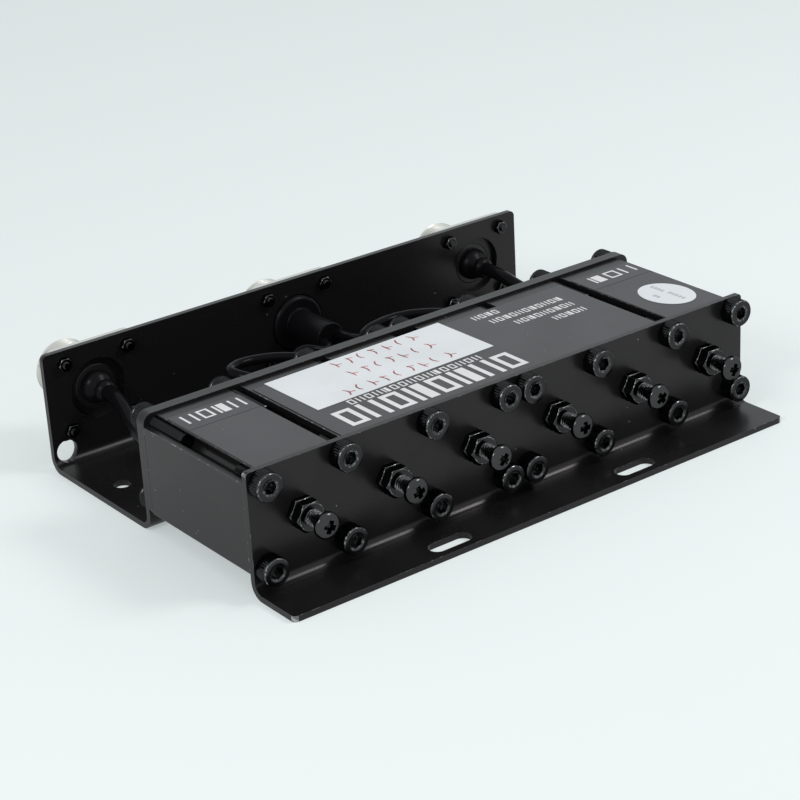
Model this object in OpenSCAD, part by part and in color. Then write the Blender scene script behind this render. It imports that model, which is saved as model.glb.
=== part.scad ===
// Small cavity duplexer: two bars of three tuned cavities between folded brackets,
// tuning screws at the front, three coaxial ports on a connector plate at the back.
// X runs along the front, Y from front to back, Z up. The origin is on the mounting
// surface, in the middle of the overall box.

/* [Case] */
// Length of the brackets, and of both cavity blocks together
case_l = 153.2; // [138:0.1:165]
// Height of the front and rear plates above the mounting surface
plate_h = 31.3; // [31:0.1:36]
// Thickness of the folded sheet and of the rear plate
sheet_t = 1.55; // [1.2:0.05:2]
// Inside radius of the folds
fold_r = 2.4; // [1.5:0.1:2.6]
// How far the front flange reaches forward of the front plate
flange_d = 15.1; // [14.5:0.1:25]
// Depth of the rear bracket over both of its upright faces
bracket_d = 47.6; // [47:0.1:60]
// Height of the connector plate
port_plate_h = 31.7; // [31.5:0.1:36]
// Corner radius of the front plate
front_corner_r = 1; // [0.5:0.1:3]
// Corner radius of the rear plates
plate_corner_r = 2.6; // [1:0.1:3]
// Corner radius of the front flange
flange_corner_r = 1.2; // [0.5:0.1:5]

/* [Cavity blocks] */
// Length of the blocks from the front plate to the rear plate
block_l = 41.5; // [40:0.5:60]
// Height of the blocks
block_h = 26.4; // [26:0.1:27]
// Height of the blocks' underside above the mounting surface
block_z = 4.2; // [4:0.1:4.6]
// Wall between the cavities and the ends of the blocks
end_wall = 2.2; // [1.5:0.1:3]
// Thinnest wall between two neighbouring cavities of one block
web_wall = 3.1; // [2.5:0.1:4]
// Height of the tuning screws' axes above the mounting surface
tune_z = 17.6; // [17:0.1:18]
// How far each tuning screw sits from its cavity's middle, towards the middle of the front
tune_shift = 0.5; // [0:0.1:1]
// Height of the side walls' top edges below the top of the blocks
lip_up = 2.4; // [2:0.1:2.6]
// Height of the side walls' lower edges above the underside of the blocks
lip_down = 1.5; // [1.2:0.1:2]

/* [Case screws] */
// Thread diameter of the case screws
screw_d = 4; // [3:0.5:4]
// Head diameter of the case screws
head_d = 7; // [6.5:0.1:7.2]
// Head height of the case screws
head_h = 4; // [3:0.1:5]
// Hexagon socket across its flats
socket_af = 3; // [2.5:0.1:3.5]
// Length of the front screws under the head
front_screw_l = 8; // [6:1:12]
// Length of the rear screws under the head
rear_screw_l = 16; // [10:1:20]
// Distance of the end screws from the ends of the blocks
port_edge = 3.8; // [3.6:0.1:4]
// Depth of the upper screw channels' axes below the top of the blocks
port_drop = 2.65; // [2.5:0.05:2.8]
// Width of the open slot along each screw channel
slot_w = 3.4; // [2.4:0.1:3.6]

/* [Tuning screws] */
// Thread diameter of the tuning screws
tune_d = 4; // [3:0.5:4]
// Thread pitch of the tuning screws, one turn's travel
tune_pitch = 0.7; // [0.5:0.05:1]
// Head diameter of the tuning screws
tune_head_d = 6.5; // [5.5:0.1:8]
// Head height of the tuning screws
tune_head_h = 1.9; // [1.5:0.1:3]
// Turns that a tuning screw can be driven in, until its head is close to the lock nut
turns_in = 6; // [1:0.5:6]
// Turns that a tuning screw can be backed out
turns_out = 5; // [1:0.5:6]
// Lock nut across its flats
nut_af = 7; // [6:0.1:8]
// Lock nut thickness
nut_h = 2.9; // [2:0.1:4]
// Bushing hexagon across its flats
bush_af = 7; // [6.8:0.1:8]
// Bushing hexagon thickness
bush_h = 1.8; // [1:0.1:3]
// Bushing barrel diameter
bush_d = 6; // [5.4:0.1:6.4]
// Bushing barrel length behind the front plate
bush_l = 2.5; // [1:0.1:3]
// Diameter of the brass tuning slug
slug_d = 6; // [5:0.1:7]
// Length of the brass tuning slug
slug_l = 12; // [9:0.5:14]

/* [Resonators] */
// Mean diameter of the coil
coil_d = 12; // [11:0.1:15]
// Diameter of the coil's wire
wire_d = 1.8; // [1:0.1:2.2]
// Turns of the coil
coil_turns = 4; // [3:1:5]
// Length of the coil's winding along its axis
coil_l = 20; // [16:1:22]
// Length of the straight leg between the winding and the rear plate
leg_l = 7; // [5:0.5:8]

/* [Ports] */
// Distance of the end connectors' axes from the ends of the case
port_inset = 14.8; // [13.6:0.1:18]
// Height of the connectors' axes above the mounting surface
port_z = 19.1; // [18.5:0.1:19.2]
// How far the end connectors reach behind the connector plate
port_reach = 16.8; // [15.4:0.1:22]
// How far the middle connector reaches behind the connector plate
antenna_reach = 15.4; // [12:0.1:15.4]
// Side of the connectors' square flange
port_flange = 24.8; // [23.5:0.1:25]
// Corner radius of the connectors' flange
port_flange_r = 2.3; // [0.5:0.1:2.6]
// Thickness of the connectors' flange
port_flange_t = 1.7; // [1.2:0.1:3]
// Distance between neighbouring screws of one connector
port_screw_pitch = 18.3; // [17:0.1:19]
// Outside diameter of the connectors' threaded barrel
barrel_d = 15.9; // [14:0.1:16]
// Bore of the connectors' barrel
socket_d = 11.6; // [10:0.1:12]
// Outside diameter of the connectors' centre contact
contact_d = 4.8; // [4.4:0.1:6]
// Bore of the connectors' centre contact
contact_bore = 3.9; // [2:0.1:4]
// Clearance hole for each connector in the plate
port_hole_d = 16; // [14:0.1:17]
// Thread diameter of the connector screws
port_screw_d = 2; // [2:0.5:3]

/* [Leads] */
// Diameter of the two feed cables
feed_d = 3.7; // [3:0.1:4]
// Diameter of the antenna and jumper cables
jumper_d = 2.6; // [2:0.1:2.8]
// Diameter of a feed cable's boot at its connector
boot_d = 9; // [8:0.1:11]
// Diameter of the boot where the cable leaves it
boot_tail_d = 5.9; // [5:0.1:7]
// Length of the boot
boot_l = 6.5; // [5:0.1:7]
// Diameter of the antenna tee's tube
tee_d = 8.4; // [8:0.1:10]
// How far the tee's tube reaches from the connector plate
tee_l = 15.4; // [14:0.1:15.5]

/* [Labels] */
// Width of the two end panels
end_panel_w = 20; // [16:0.1:20]
// Gap between the middle panel and the end panels
panel_split = 4; // [1:0.1:8]
// Length of the panels from front to back
panel_l = 36.6; // [30:0.1:38]
// Thickness of the panels
panel_t = 0.2; // [0.1:0.05:0.4]
// Distance of the panels from the front plate
panel_gap = 0.5; // [0.2:0.1:2]

/* [Mounting holes] */
// Distance of the flange slots' middles from the ends of the flange
slot_inset = 47.4; // [20:0.1:60]
// Length of the flange slots from end to end
slot_len = 12; // [8:0.5:16]
// Width of the flange slots
slot_wide = 4.6; // [4:0.1:5]
// Distance of the floor holes from the ends of the floor
floor_inset = 7.3; // [5:0.1:20]
// Diameter of the floor holes
floor_hole_d = 4.5; // [3:0.1:5]
// Distance of the holes in the connector plate's lower corners from its ends
corner_inset = 3.8; // [3.6:0.1:4.2]
// Diameter of the holes in the connector plate's lower corners
corner_hole_d = 5.8; // [4:0.1:6]

/* [Hidden] */
$fn = 48;

// Fits: running gap of a thread or shaft, and clearance of a plain screw hole
run_gap = 0.05;
hole_gap = 0.15;
cut = 1; // overrun of every cut past its faces

// Places from front to back
total_d = flange_d + 2 * sheet_t + block_l + bracket_d + port_reach;
front_y = flange_d - total_d / 2;
block_y = front_y + sheet_t;
rear_y = block_y + block_l;
upright_y = rear_y + sheet_t;
back_y = upright_y + sheet_t;
port_y = upright_y + bracket_d;
port_in_y = port_y - sheet_t;

// Places along the front
block_w = case_l / 2;
block_x = [-block_w / 2, block_w / 2];
cavity_d = (block_w - 2 * end_wall - 2 * web_wall) / 3;
cavity_pitch = cavity_d + web_wall;
end_port_x = block_w / 2 - port_edge;
web_x = cavity_pitch / 2;
port_offsets = [-end_port_x, -web_x, web_x, end_port_x];
screw_x = [for (x = block_x, o = port_offsets) x + o];
cavity_x = [for (x = block_x, i = [-1:1]) x + i * cavity_pitch];
tune_x = [for (x = cavity_x) x - sign(x) * tune_shift];
port_x = case_l / 2 - port_inset;
connector_x = [-port_x, 0, port_x];
slot_x = case_l / 2 - slot_inset;
floor_x = case_l / 2 - floor_inset;
corner_x = case_l / 2 - corner_inset;

// Heights
block_top = block_z + block_h;
cavity_z = block_z + block_h / 2;
row_z = [block_z + port_drop, block_top - port_drop];
bend_r = fold_r + sheet_t;
panel_z = block_top + panel_t;

// Tuning screw, measured from the front plate's face
nut_face = bush_h + nut_h;
head_stop = 0.8; // left between the head and the nut when the screw is driven in
tune_gap = turns_in * tune_pitch + head_stop;
slug_bore_l = 6;
slug_clear = 0.9; // left between the bushing and the slug when the screw is backed out
slug_start = sheet_t + bush_l + turns_out * tune_pitch + slug_clear;
tune_shank_l = nut_face + tune_gap + slug_start + slug_bore_l - run_gap;
recess_w = 0.15 * tune_head_d; // arm of the cross recess
recess_l = 0.56 * tune_head_d; // its length across
recess_depth = 0.6 * tune_head_h;
pan_side = 0.45; // height of the pan head's straight side, in heights of the head
pan_crown = 0.6; // width of its flat crown, in diameters of the head

// Edges of the fasteners
head_chamfer = 0.3; // front edge of a cap screw's head
hex_face = 0.475; // radius of a nut's round face, in widths across its flats
hex_reach = 0.6; // radius that the chamfer's cone reaches, past the corners

// Bracket details
flange_slot_y = 10.7; // distance of the slots' middles from the front plate
corner_z = 4.8; // height of the holes in the connector plate's lower corners
port_corner_r = 1.5; // upper corners of the connector plate
floor_hole_y = 23.9; // distance of the floor holes behind the upright

// Resonator and cable details
coil_sides = 8;
coil_steps = 14; // rings in one turn
leg_bend = wire_d; // radius of the bend into the leg
leg_end = 1; // straight end of the leg at the rear plate
cable_sides = 8;

// Connector details
screw_end = 0.6; // thread that shows past each nut
port_screw_head_d = 1.9 * port_screw_d;
port_screw_head_h = 0.75 * port_screw_d;
port_nut_af = 1.7 * port_screw_d;
port_nut_h = 0.8 * port_screw_d;
barrel_chamfer = 0.4;
insulator_recess = 3;
contact_recess = 2;
contact_bore_l = 9;
boot_rim = 0.6; // length of the boot's widest part
boot_cone = 1.6; // length of its taper
tee_collar_d = port_hole_d - 4 * hole_gap; // collar that closes the connector's hole
collar_round = 1.2; // how far the collar stands off the plate, and its rounding

// Labels, from the top's front left corner of each panel
panel_inset = 0.2; // from the steps at the blocks' ends to the end panels
end_panel_x = case_l / 2 - port_edge - end_panel_w / 2 - panel_inset;
name_panel_w = 2 * end_panel_x - end_panel_w - 2 * panel_split;
label_t = 0.15;
paper_w = 54;
paper_l = 21.7;
paper_inset = [31, 27.4]; // its middle from the name panel's left end and the front plate
paper_turn = 1.2;
oval_shift = [1.3, 12.6]; // its middle from the right panel's middle and the front plate
oval_w = 13;
oval_l = 16.4;
oval_turn = 7;
oval_points = 40;

// Cable routes: X in cavity pitches, Y measured back from the rear bracket's upright,
// Z as above. The first point is at the connector, the last inside the cavity that the
// cable feeds.
boot_end = port_y - boot_l - back_y;
tee_end = port_in_y - tee_l - back_y;
tee_lead = tee_end - 0.6; // the cables leave the tee straight as far as this
port_at = port_x / cavity_pitch; // an end connector's X in cavity pitches
high_feed_route = [
    [-port_at, boot_end, port_z], [-port_at, 36.5, port_z], [-2.482, 33, 18.4],
    [-2.518, 28.5, 17.2], [-2.57, 23.5, 15.9], [-2.618, 18, 15.1], [-2.653, 11, 14.6],
    [-2.669, 4, 14.5], [-2.669, -5, 14.5]
];
low_feed_route = [
    [port_at, boot_end, port_z], [port_at, 35.5, port_z], [port_at, 31.5, 18.7],
    [2.478, 27.5, 17.7], [2.514, 22, 16.3], [2.574, 15.5, 15.1], [2.625, 9, 14.6],
    [2.649, 3, 14.5], [2.649, -5, 14.5]
];
left_antenna_route = [
    [-0.096, tee_end, 18.4], [-0.096, tee_lead, 18.4], [-0.116, 26.5, 18.2],
    [-0.183, 25.2, 18.1], [-0.295, 25.6, 18.9], [-0.414, 26.6, 19.6], [-0.534, 26, 19],
    [-0.622, 23, 17.8], [-0.637, 18.6, 16.8], [-0.582, 13.8, 16], [-0.502, 9, 15.3],
    [-0.446, 4.6, 15], [-0.43, 1.5, 15], [-0.43, -5, 15]
];
right_antenna_route = [
    [0.092, tee_end, 19.9], [0.092, tee_lead, 19.9], [0.092, 24.5, 20.2], [0.1, 20, 20.8],
    [0.143, 16.6, 20.8], [0.231, 14.2, 19.8], [0.359, 12.4, 18], [0.51, 10.8, 16.3],
    [0.661, 8.4, 15.3], [0.761, 5, 15], [0.789, 1.5, 15], [0.789, -5, 15]
];
jumper_1_route = [
    [-2.271, -5, 14], [-2.271, 1, 14], [-2.271, 7, 14], [-2.199, 11.2, 14],
    [-2.032, 13, 14], [-1.865, 11.2, 14], [-1.793, 7, 14], [-1.793, 1, 14],
    [-1.793, -5, 14]
];
jumper_2_route = [
    [-1.514, -5, 23.5], [-1.514, 1, 23.5], [-1.522, 4, 24.6], [-1.566, 6.9, 26.2],
    [-1.645, 9.6, 27], [-1.665, 12.6, 27.3], [-1.562, 14.8, 27.2], [-1.434, 15.5, 27],
    [-1.299, 15.2, 26.8], [-1.143, 13.9, 26.6], [-1.008, 11.7, 26.4], [-0.888, 8.6, 26],
    [-0.789, 5.2, 24.9], [-0.737, 2, 24.1], [-0.737, -5, 24]
];
jumper_3_route = [
    [0.219, -5, 20.5], [0.219, 1.4, 20.5], [0.167, 4.6, 20.5], [0.04, 7, 20.7],
    [-0.08, 8.6, 21.6], [-0.155, 9.3, 23.8], [-0.135, 9.6, 26], [-0.048, 10.8, 26.8],
    [0.104, 11.8, 27.1], [0.303, 12.6, 27], [0.49, 11.9, 27], [0.653, 10.4, 26.8],
    [0.805, 8.9, 26.3], [0.964, 7.8, 25.2], [1.116, 6.5, 23.9], [1.243, 4.4, 22.6],
    [1.295, 1.4, 22], [1.295, -5, 22]
];
jumper_4_route = [for (p = jumper_1_route) [-p.x, p.y, p.z]];
thin_routes = [left_antenna_route, right_antenna_route, jumper_1_route, jumper_2_route,
    jumper_3_route, jumper_4_route];
feed_routes = [high_feed_route, low_feed_route];

// Colours
black_anodised = [0.13, 0.13, 0.14];
black_oxide = [0.1, 0.1, 0.1];
film_grey = [0.36, 0.36, 0.37];
paper_white = [0.92, 0.93, 0.93];
nickel = [0.78, 0.77, 0.74];
brass = [0.8, 0.62, 0.3];
silver_wire = [0.82, 0.8, 0.76];
moulded_black = [0.09, 0.09, 0.09];
jacket_black = [0.07, 0.07, 0.07];

// Helpers

// Moves children to the point p of a plate that faces the front, and points their Z back
module along_y(p) translate(p) rotate([-90, 0, 0]) children();

// Extrudes an outline drawn in Y and Z over the length of the case
module over_length() {
    translate([-case_l / 2, 0, 0]) rotate([90, 0, 90]) linear_extrude(case_l) children();
}

// Extrudes an outline drawn in X and Z backwards by depth, from y
module over_depth(y, depth) {
    translate([0, y + depth, 0]) rotate([90, 0, 0]) linear_extrude(depth) children();
}

module rounded_rect(w, h, r) {
    square([w - 2 * r, h], center = true);
    square([w, h - 2 * r], center = true);
    for (x = [-1, 1], y = [-1, 1]) translate([x * (w / 2 - r), y * (h / 2 - r)]) circle(r);
}

// The part of a corner that a rounding of radius r takes away, corner at the origin
module corner_waste(r) {
    difference() {
        translate([-cut, -cut]) square(r + cut);
        translate([r, r]) circle(r);
    }
}

// Quarter of a folded corner, with its centre at the origin and its outside at lower left
module fold_arc() {
    difference() {
        intersection() {
            circle(bend_r);
            translate([-bend_r, -bend_r]) square(bend_r);
        }
        circle(fold_r);
    }
}

module hexagon(af) circle(d = af / cos(30), $fn = 6);

// Hexagon of height h on the XY plane, with the corners of both of its faces chamfered
module chamfered_hexagon(af, h) {
    drop = (hex_reach - hex_face) * af * tan(30);
    intersection() {
        linear_extrude(h) hexagon(af);
        rotate_extrude() polygon([
            [0, 0],
            [hex_face * af, 0],
            [hex_reach * af, drop],
            [hex_reach * af, h - drop],
            [hex_face * af, h],
            [0, h]
        ]);
    }
}

// Rounds off both upper corners of a plate with its front face at y and its top at z
module plate_corners(y, z, r) {
    for (s = [0, 1]) mirror([s, 0, 0]) over_depth(y - cut, sheet_t + 2 * cut)
        translate([-case_l / 2, z]) mirror([0, 1]) corner_waste(r);
}

// Clearance holes for the case screws
module case_screw_holes(y) {
    for (x = screw_x, z = row_z) along_y([x, y - cut, z])
        cylinder(d = screw_d + 2 * hole_gap, h = sheet_t + 2 * cut);
}

// Holes where the cables pass the rear plate and the rear bracket
module cable_holes(y) {
    for (r = feed_routes) cable_hole(r[len(r) - 1], y, feed_d);
    for (r = thin_routes) {
        cable_hole(r[len(r) - 1], y, jumper_d);
        if (r[0].y < 0) cable_hole(r[0], y, jumper_d);
    }
}

module cable_hole(p, y, d) {
    along_y([p.x * cavity_pitch, y - cut, p.z])
        cylinder(d = d + 4 * hole_gap, h = sheet_t + 2 * cut);
}

// Four places of one connector's screws
module at_port_screws(x) {
    for (i = [-1, 1], k = [-1, 1])
        translate([x + i * port_screw_pitch / 2, 0, port_z + k * port_screw_pitch / 2])
            children();
}

// Brackets and plates

module front_bracket() {
    color(black_anodised) difference() {
        over_length() {
            translate([front_y, bend_r]) square([sheet_t, plate_h - bend_r]);
            translate([front_y - fold_r, bend_r]) mirror([1, 0]) fold_arc();
            translate([front_y - flange_d, 0]) square([flange_d - fold_r, sheet_t]);
        }
        case_screw_holes(front_y);
        for (x = tune_x) along_y([x, front_y - cut, tune_z])
            cylinder(d = bush_d + 2 * run_gap, h = sheet_t + 2 * cut);
        for (x = [-1, 1]) translate([x * slot_x, front_y - flange_slot_y, -cut])
            linear_extrude(sheet_t + 2 * cut) flange_slot();
        for (s = [0, 1]) mirror([s, 0, 0])
            translate([-case_l / 2, front_y - flange_d, -cut])
                linear_extrude(sheet_t + 2 * cut) corner_waste(flange_corner_r);
        plate_corners(front_y, plate_h, front_corner_r);
    }
}

module flange_slot() {
    square([slot_len - slot_wide, slot_wide], center = true);
    for (i = [-1, 1]) translate([i * (slot_len - slot_wide) / 2, 0]) circle(d = slot_wide);
}

module rear_plate() {
    color(black_anodised) difference() {
        over_depth(rear_y, sheet_t) translate([0, (block_z + plate_h) / 2])
            rounded_rect(case_l, plate_h - block_z, plate_corner_r);
        case_screw_holes(rear_y);
        cable_holes(rear_y);
    }
}

module rear_bracket() {
    color(black_anodised) difference() {
        over_length() {
            translate([upright_y, bend_r]) square([sheet_t, plate_h - bend_r]);
            translate([upright_y + bend_r, bend_r]) fold_arc();
            translate([upright_y + bend_r, 0]) square([bracket_d - 2 * bend_r, sheet_t]);
            translate([port_y - bend_r, bend_r]) mirror([1, 0]) fold_arc();
            translate([port_in_y, bend_r]) square([sheet_t, port_plate_h - bend_r]);
        }
        case_screw_holes(upright_y);
        cable_holes(upright_y);
        for (x = connector_x) {
            along_y([x, port_in_y - cut, port_z])
                cylinder(d = port_hole_d, h = sheet_t + 2 * cut);
            at_port_screws(x) along_y([0, port_in_y - cut, 0])
                cylinder(d = port_screw_d + 2 * hole_gap, h = sheet_t + 2 * cut);
        }
        for (i = [-1, 1]) {
            along_y([i * corner_x, port_in_y - bend_r, corner_z])
                cylinder(d = corner_hole_d, h = bend_r + sheet_t + cut);
            translate([i * floor_x, back_y + floor_hole_y, -cut])
                cylinder(d = floor_hole_d, h = sheet_t + 2 * cut);
        }
        plate_corners(upright_y, plate_h, plate_corner_r);
        plate_corners(port_in_y, port_plate_h, port_corner_r);
    }
}

// Cavity blocks

// End view of one block: round cavities between open screw channels
module block_profile() {
    difference() {
        translate([-block_w / 2, block_z]) square([block_w, block_h]);
        for (i = [-1:1]) translate([i * cavity_pitch, cavity_z]) circle(d = cavity_d);
        for (x = port_offsets, z = row_z) translate([x, z]) circle(d = screw_d + 2 * run_gap);
        for (x = [-web_x, web_x]) {
            translate([x - slot_w / 2, row_z[1]]) square([slot_w, port_drop + cut]);
            translate([x - slot_w / 2, block_z - cut]) square([slot_w, port_drop + cut]);
        }
        for (s = [0, 1]) mirror([s, 0]) {
            translate([-block_w / 2 - cut, block_top - lip_up])
                square([port_edge + cut, lip_up + cut]);
            translate([-block_w / 2 - cut, block_z - cut])
                square([port_edge + cut, lip_down + cut]);
        }
    }
}

module cavity_block(x) {
    color(black_anodised) translate([x, 0, 0]) over_depth(block_y, block_l) block_profile();
}

// Case screws

// One socket cap screw, its head's underside at the origin and its shank along Z
module cap_screw(l) {
    difference() {
        union() {
            translate([0, 0, -head_h])
                cylinder(d1 = head_d - 2 * head_chamfer, d2 = head_d, h = head_chamfer);
            translate([0, 0, head_chamfer - head_h]) cylinder(d = head_d, h = head_h - head_chamfer);
            cylinder(d = screw_d, h = l);
        }
        translate([0, 0, -head_h - cut]) linear_extrude(head_h / 2 + cut) hexagon(socket_af);
    }
}

module front_screws() {
    color(black_oxide) for (x = screw_x, z = row_z)
        along_y([x, front_y, z]) cap_screw(front_screw_l);
}

module rear_screws() {
    color(black_oxide) for (x = screw_x, z = row_z)
        translate([x, back_y, z]) rotate([90, 0, 0]) cap_screw(rear_screw_l);
}

// Tuners

module lock_nuts() {
    color(black_oxide) for (x = tune_x) along_y([x, front_y - nut_face, tune_z])
        difference() {
            chamfered_hexagon(nut_af, nut_h);
            translate([0, 0, -cut]) cylinder(d = tune_d + 2 * run_gap, h = nut_h + 2 * cut);
        }
}

module tuner_bushings() {
    color(black_oxide) for (x = tune_x) along_y([x, front_y - bush_h, tune_z]) {
        difference() {
            union() {
                chamfered_hexagon(bush_af, bush_h);
                cylinder(d = bush_d, h = bush_h + sheet_t + bush_l);
            }
            translate([0, 0, -cut])
                cylinder(d = tune_d + 2 * run_gap, h = bush_h + sheet_t + bush_l + 2 * cut);
        }
    }
}

// Pan head with a cross recess, its crown towards -Z and its underside at the origin
module pan_head() {
    difference() {
        rotate_extrude() polygon([
            [0, 0],
            [tune_head_d / 2, 0],
            [tune_head_d / 2, -tune_head_h * pan_side],
            for (a = [15:15:75])
                [tune_head_d / 2 * (pan_crown + (1 - pan_crown) * cos(a)),
                    -tune_head_h * (pan_side + (1 - pan_side) * sin(a))],
            [tune_head_d / 2 * pan_crown, -tune_head_h],
            [0, -tune_head_h]
        ]);
        for (a = [0, 90]) rotate([0, 0, a])
            translate([-recess_l / 2, -recess_w / 2, -tune_head_h - cut])
                cube([recess_l, recess_w, recess_depth + cut]);
    }
}

module tuning_screw(i) {
    color(black_oxide) along_y([tune_x[i], front_y - nut_face - tune_gap, tune_z]) {
        pan_head();
        cylinder(d = tune_d, h = tune_shank_l);
    }
}

module tuning_slug(i) {
    color(brass) along_y([tune_x[i], front_y + slug_start, tune_z]) difference() {
        cylinder(d = slug_d, h = slug_l);
        translate([0, 0, -cut]) cylinder(d = tune_d + 2 * run_gap, h = slug_bore_l + cut);
    }
}

// Resonators and cables

function unit(v) = v / norm(v);

// Carries the first cross vector n along the directions t without twist
function carried(t, n, i = 0) = i == len(t) ? [] :
    let (m = unit(n - (n * t[i]) * t[i])) concat([m], carried(t, m, i + 1));

// Directions of a route: straight at its ends, the mean of both sides elsewhere
function directions(p) = [for (i = [0:len(p) - 1])
    unit(p[min(i + 1, len(p) - 1)] - p[max(i - 1, 0)])];

// Round tube of diameter d through the points p
module tube(p, d, sides) {
    t = directions(p);
    n = carried(t, abs(t[0].z) < 0.7 ? [0, 0, 1] : [1, 0, 0]);
    ring = [for (i = [0:len(p) - 1], k = [0:sides - 1])
        let (a = 360 * k / sides) p[i] + d / 2 * (cos(a) * n[i] + sin(a) * cross(t[i], n[i]))];
    last = (len(p) - 1) * sides;
    polyhedron(ring, concat(
        [[for (k = [0:sides - 1]) k]],
        [[for (k = [sides - 1:-1:0]) last + k]],
        [for (i = [0:len(p) - 2], k = [0:sides - 1])
            let (a = i * sides + k, b = i * sides + (k + 1) % sides) [a, a + sides, b]],
        [for (i = [0:len(p) - 2], k = [0:sides - 1])
            let (a = i * sides + k, b = i * sides + (k + 1) % sides)
            [b, a + sides, b + sides]]));
}

// Centre line of a coil whose leg ends on the rear plate, its axis along Y at x and z
function coil_route(x, z) =
    let (r = coil_d / 2, n = coil_turns * coil_steps, end_a = -90,
        wound_y = rear_y - leg_l, last = [x + r * cos(end_a), wound_y, z + r * sin(end_a)],
        along = [-sin(end_a), 0, cos(end_a)])
    concat(
        [for (i = [0:n]) let (a = end_a - 360 * (n - i) / coil_steps)
            [x + r * cos(a), wound_y - coil_l * (n - i) / n, z + r * sin(a)]],
        [for (f = [30:30:90]) last + leg_bend * (sin(f) * along + (1 - cos(f)) * [0, 1, 0])],
        [[last.x + leg_bend * along.x, rear_y - leg_end, last.z + leg_bend * along.z]],
        [[last.x + leg_bend * along.x, rear_y, last.z + leg_bend * along.z]]);

module resonator(i) {
    color(silver_wire) tube(coil_route(tune_x[i], tune_z), wire_d, coil_sides);
}

module cable(route, d) {
    color(jacket_black) tube([for (p = route) [p.x * cavity_pitch, back_y + p.y, p.z]], d,
        cable_sides);
}

// Ports

module port_shell(x, reach) {
    color(nickel) difference() {
        union() {
            over_depth(port_y, port_flange_t) translate([x, port_z])
                rounded_rect(port_flange, port_flange, port_flange_r);
            along_y([x, port_y, port_z]) {
                cylinder(d = barrel_d, h = reach - barrel_chamfer);
                translate([0, 0, reach - barrel_chamfer]) cylinder(d1 = barrel_d,
                    d2 = barrel_d - 2 * barrel_chamfer, h = barrel_chamfer);
            }
        }
        along_y([x, port_y - cut, port_z]) cylinder(d = socket_d, h = reach + 2 * cut);
        at_port_screws(x) along_y([0, port_y - cut, 0])
            cylinder(d = port_screw_d + 2 * hole_gap, h = port_flange_t + 2 * cut);
    }
}

module port_insulator(x, reach) {
    color(moulded_black) along_y([x, port_y, port_z]) difference() {
        cylinder(d = socket_d - 2 * run_gap, h = reach - insulator_recess);
        translate([0, 0, -cut]) cylinder(d = contact_d + 2 * run_gap, h = reach + 2 * cut);
    }
}

module port_contact(x, reach) {
    color(brass) along_y([x, port_y, port_z]) difference() {
        cylinder(d = contact_d, h = reach - contact_recess);
        translate([0, 0, reach - contact_recess - contact_bore_l])
            cylinder(d = contact_bore, h = contact_bore_l + cut);
    }
}

module connector_screws() {
    grip = port_flange_t + sheet_t + port_nut_h + screw_end;
    color(black_oxide) for (x = connector_x) at_port_screws(x)
        translate([0, port_y + port_flange_t, 0]) rotate([90, 0, 0]) {
            translate([0, 0, -port_screw_head_h])
                cylinder(d = port_screw_head_d, h = port_screw_head_h);
            cylinder(d = port_screw_d, h = grip);
        }
}

module connector_nuts() {
    color(black_oxide) for (x = connector_x) at_port_screws(x)
        along_y([0, port_in_y - port_nut_h, 0]) difference() {
            chamfered_hexagon(port_nut_af, port_nut_h);
            translate([0, 0, -cut])
                cylinder(d = port_screw_d + 2 * run_gap, h = port_nut_h + 2 * cut);
        }
}

// Boot over the joint between a feed cable and its connector
module port_boot(x) {
    color(jacket_black) along_y([x, port_y, port_z]) rotate_extrude() polygon([
        [0, 0],
        [boot_d / 2, 0],
        [boot_d / 2, -boot_rim],
        [boot_tail_d / 2, -boot_rim - boot_cone],
        [boot_tail_d / 2, -boot_l],
        [0, -boot_l]
    ]);
}

module antenna_tee() {
    color(jacket_black) along_y([0, port_in_y, port_z]) rotate_extrude() polygon([
        [0, sheet_t],
        [tee_collar_d / 2, sheet_t],
        for (a = [0:22.5:90])
            [tee_collar_d / 2 - collar_round * (1 - cos(a)), -collar_round * sin(a)],
        [tee_d / 2, -collar_round],
        [tee_d / 2, -tee_l],
        [0, -tee_l]
    ]);
}

// Labels

module panel(x, w) {
    color(film_grey) translate([x - w / 2, block_y + panel_gap, block_top])
        cube([w, panel_l, panel_t]);
}

module paper_label() {
    color(paper_white) translate([paper_inset.x - name_panel_w / 2, block_y + paper_inset.y, panel_z])
        rotate([0, 0, paper_turn]) translate([-paper_w / 2, -paper_l / 2, 0])
            cube([paper_w, paper_l, label_t]);
}

module oval_sticker() {
    color(paper_white) translate([end_panel_x + oval_shift.x, block_y + oval_shift.y, panel_z])
        rotate([0, 0, oval_turn]) linear_extrude(label_t) polygon(
            [for (k = [0:oval_points - 1]) let (a = 360 * k / oval_points)
                [oval_w / 2 * cos(a), oval_l / 2 * sin(a)]]);
}

front_bracket();
cavity_block(block_x[0]);  // left_cavity_block
cavity_block(block_x[1]);  // right_cavity_block
rear_plate();
rear_bracket();
front_screws();
rear_screws();
lock_nuts();
tuner_bushings();
tuning_screw(0);  // tuning_screw_1
tuning_screw(1);  // tuning_screw_2
tuning_screw(2);  // tuning_screw_3
tuning_screw(3);  // tuning_screw_4
tuning_screw(4);  // tuning_screw_5
tuning_screw(5);  // tuning_screw_6
tuning_slug(0);  // tuning_slug_1
tuning_slug(1);  // tuning_slug_2
tuning_slug(2);  // tuning_slug_3
tuning_slug(3);  // tuning_slug_4
tuning_slug(4);  // tuning_slug_5
tuning_slug(5);  // tuning_slug_6
resonator(0);  // resonator_1
resonator(1);  // resonator_2
resonator(2);  // resonator_3
resonator(3);  // resonator_4
resonator(4);  // resonator_5
resonator(5);  // resonator_6
panel(-end_panel_x, end_panel_w);  // left_port_panel
panel(0, name_panel_w);  // name_panel
panel(end_panel_x, end_panel_w);  // right_port_panel
paper_label();
oval_sticker();
port_shell(connector_x[0], port_reach);  // high_port_shell
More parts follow.
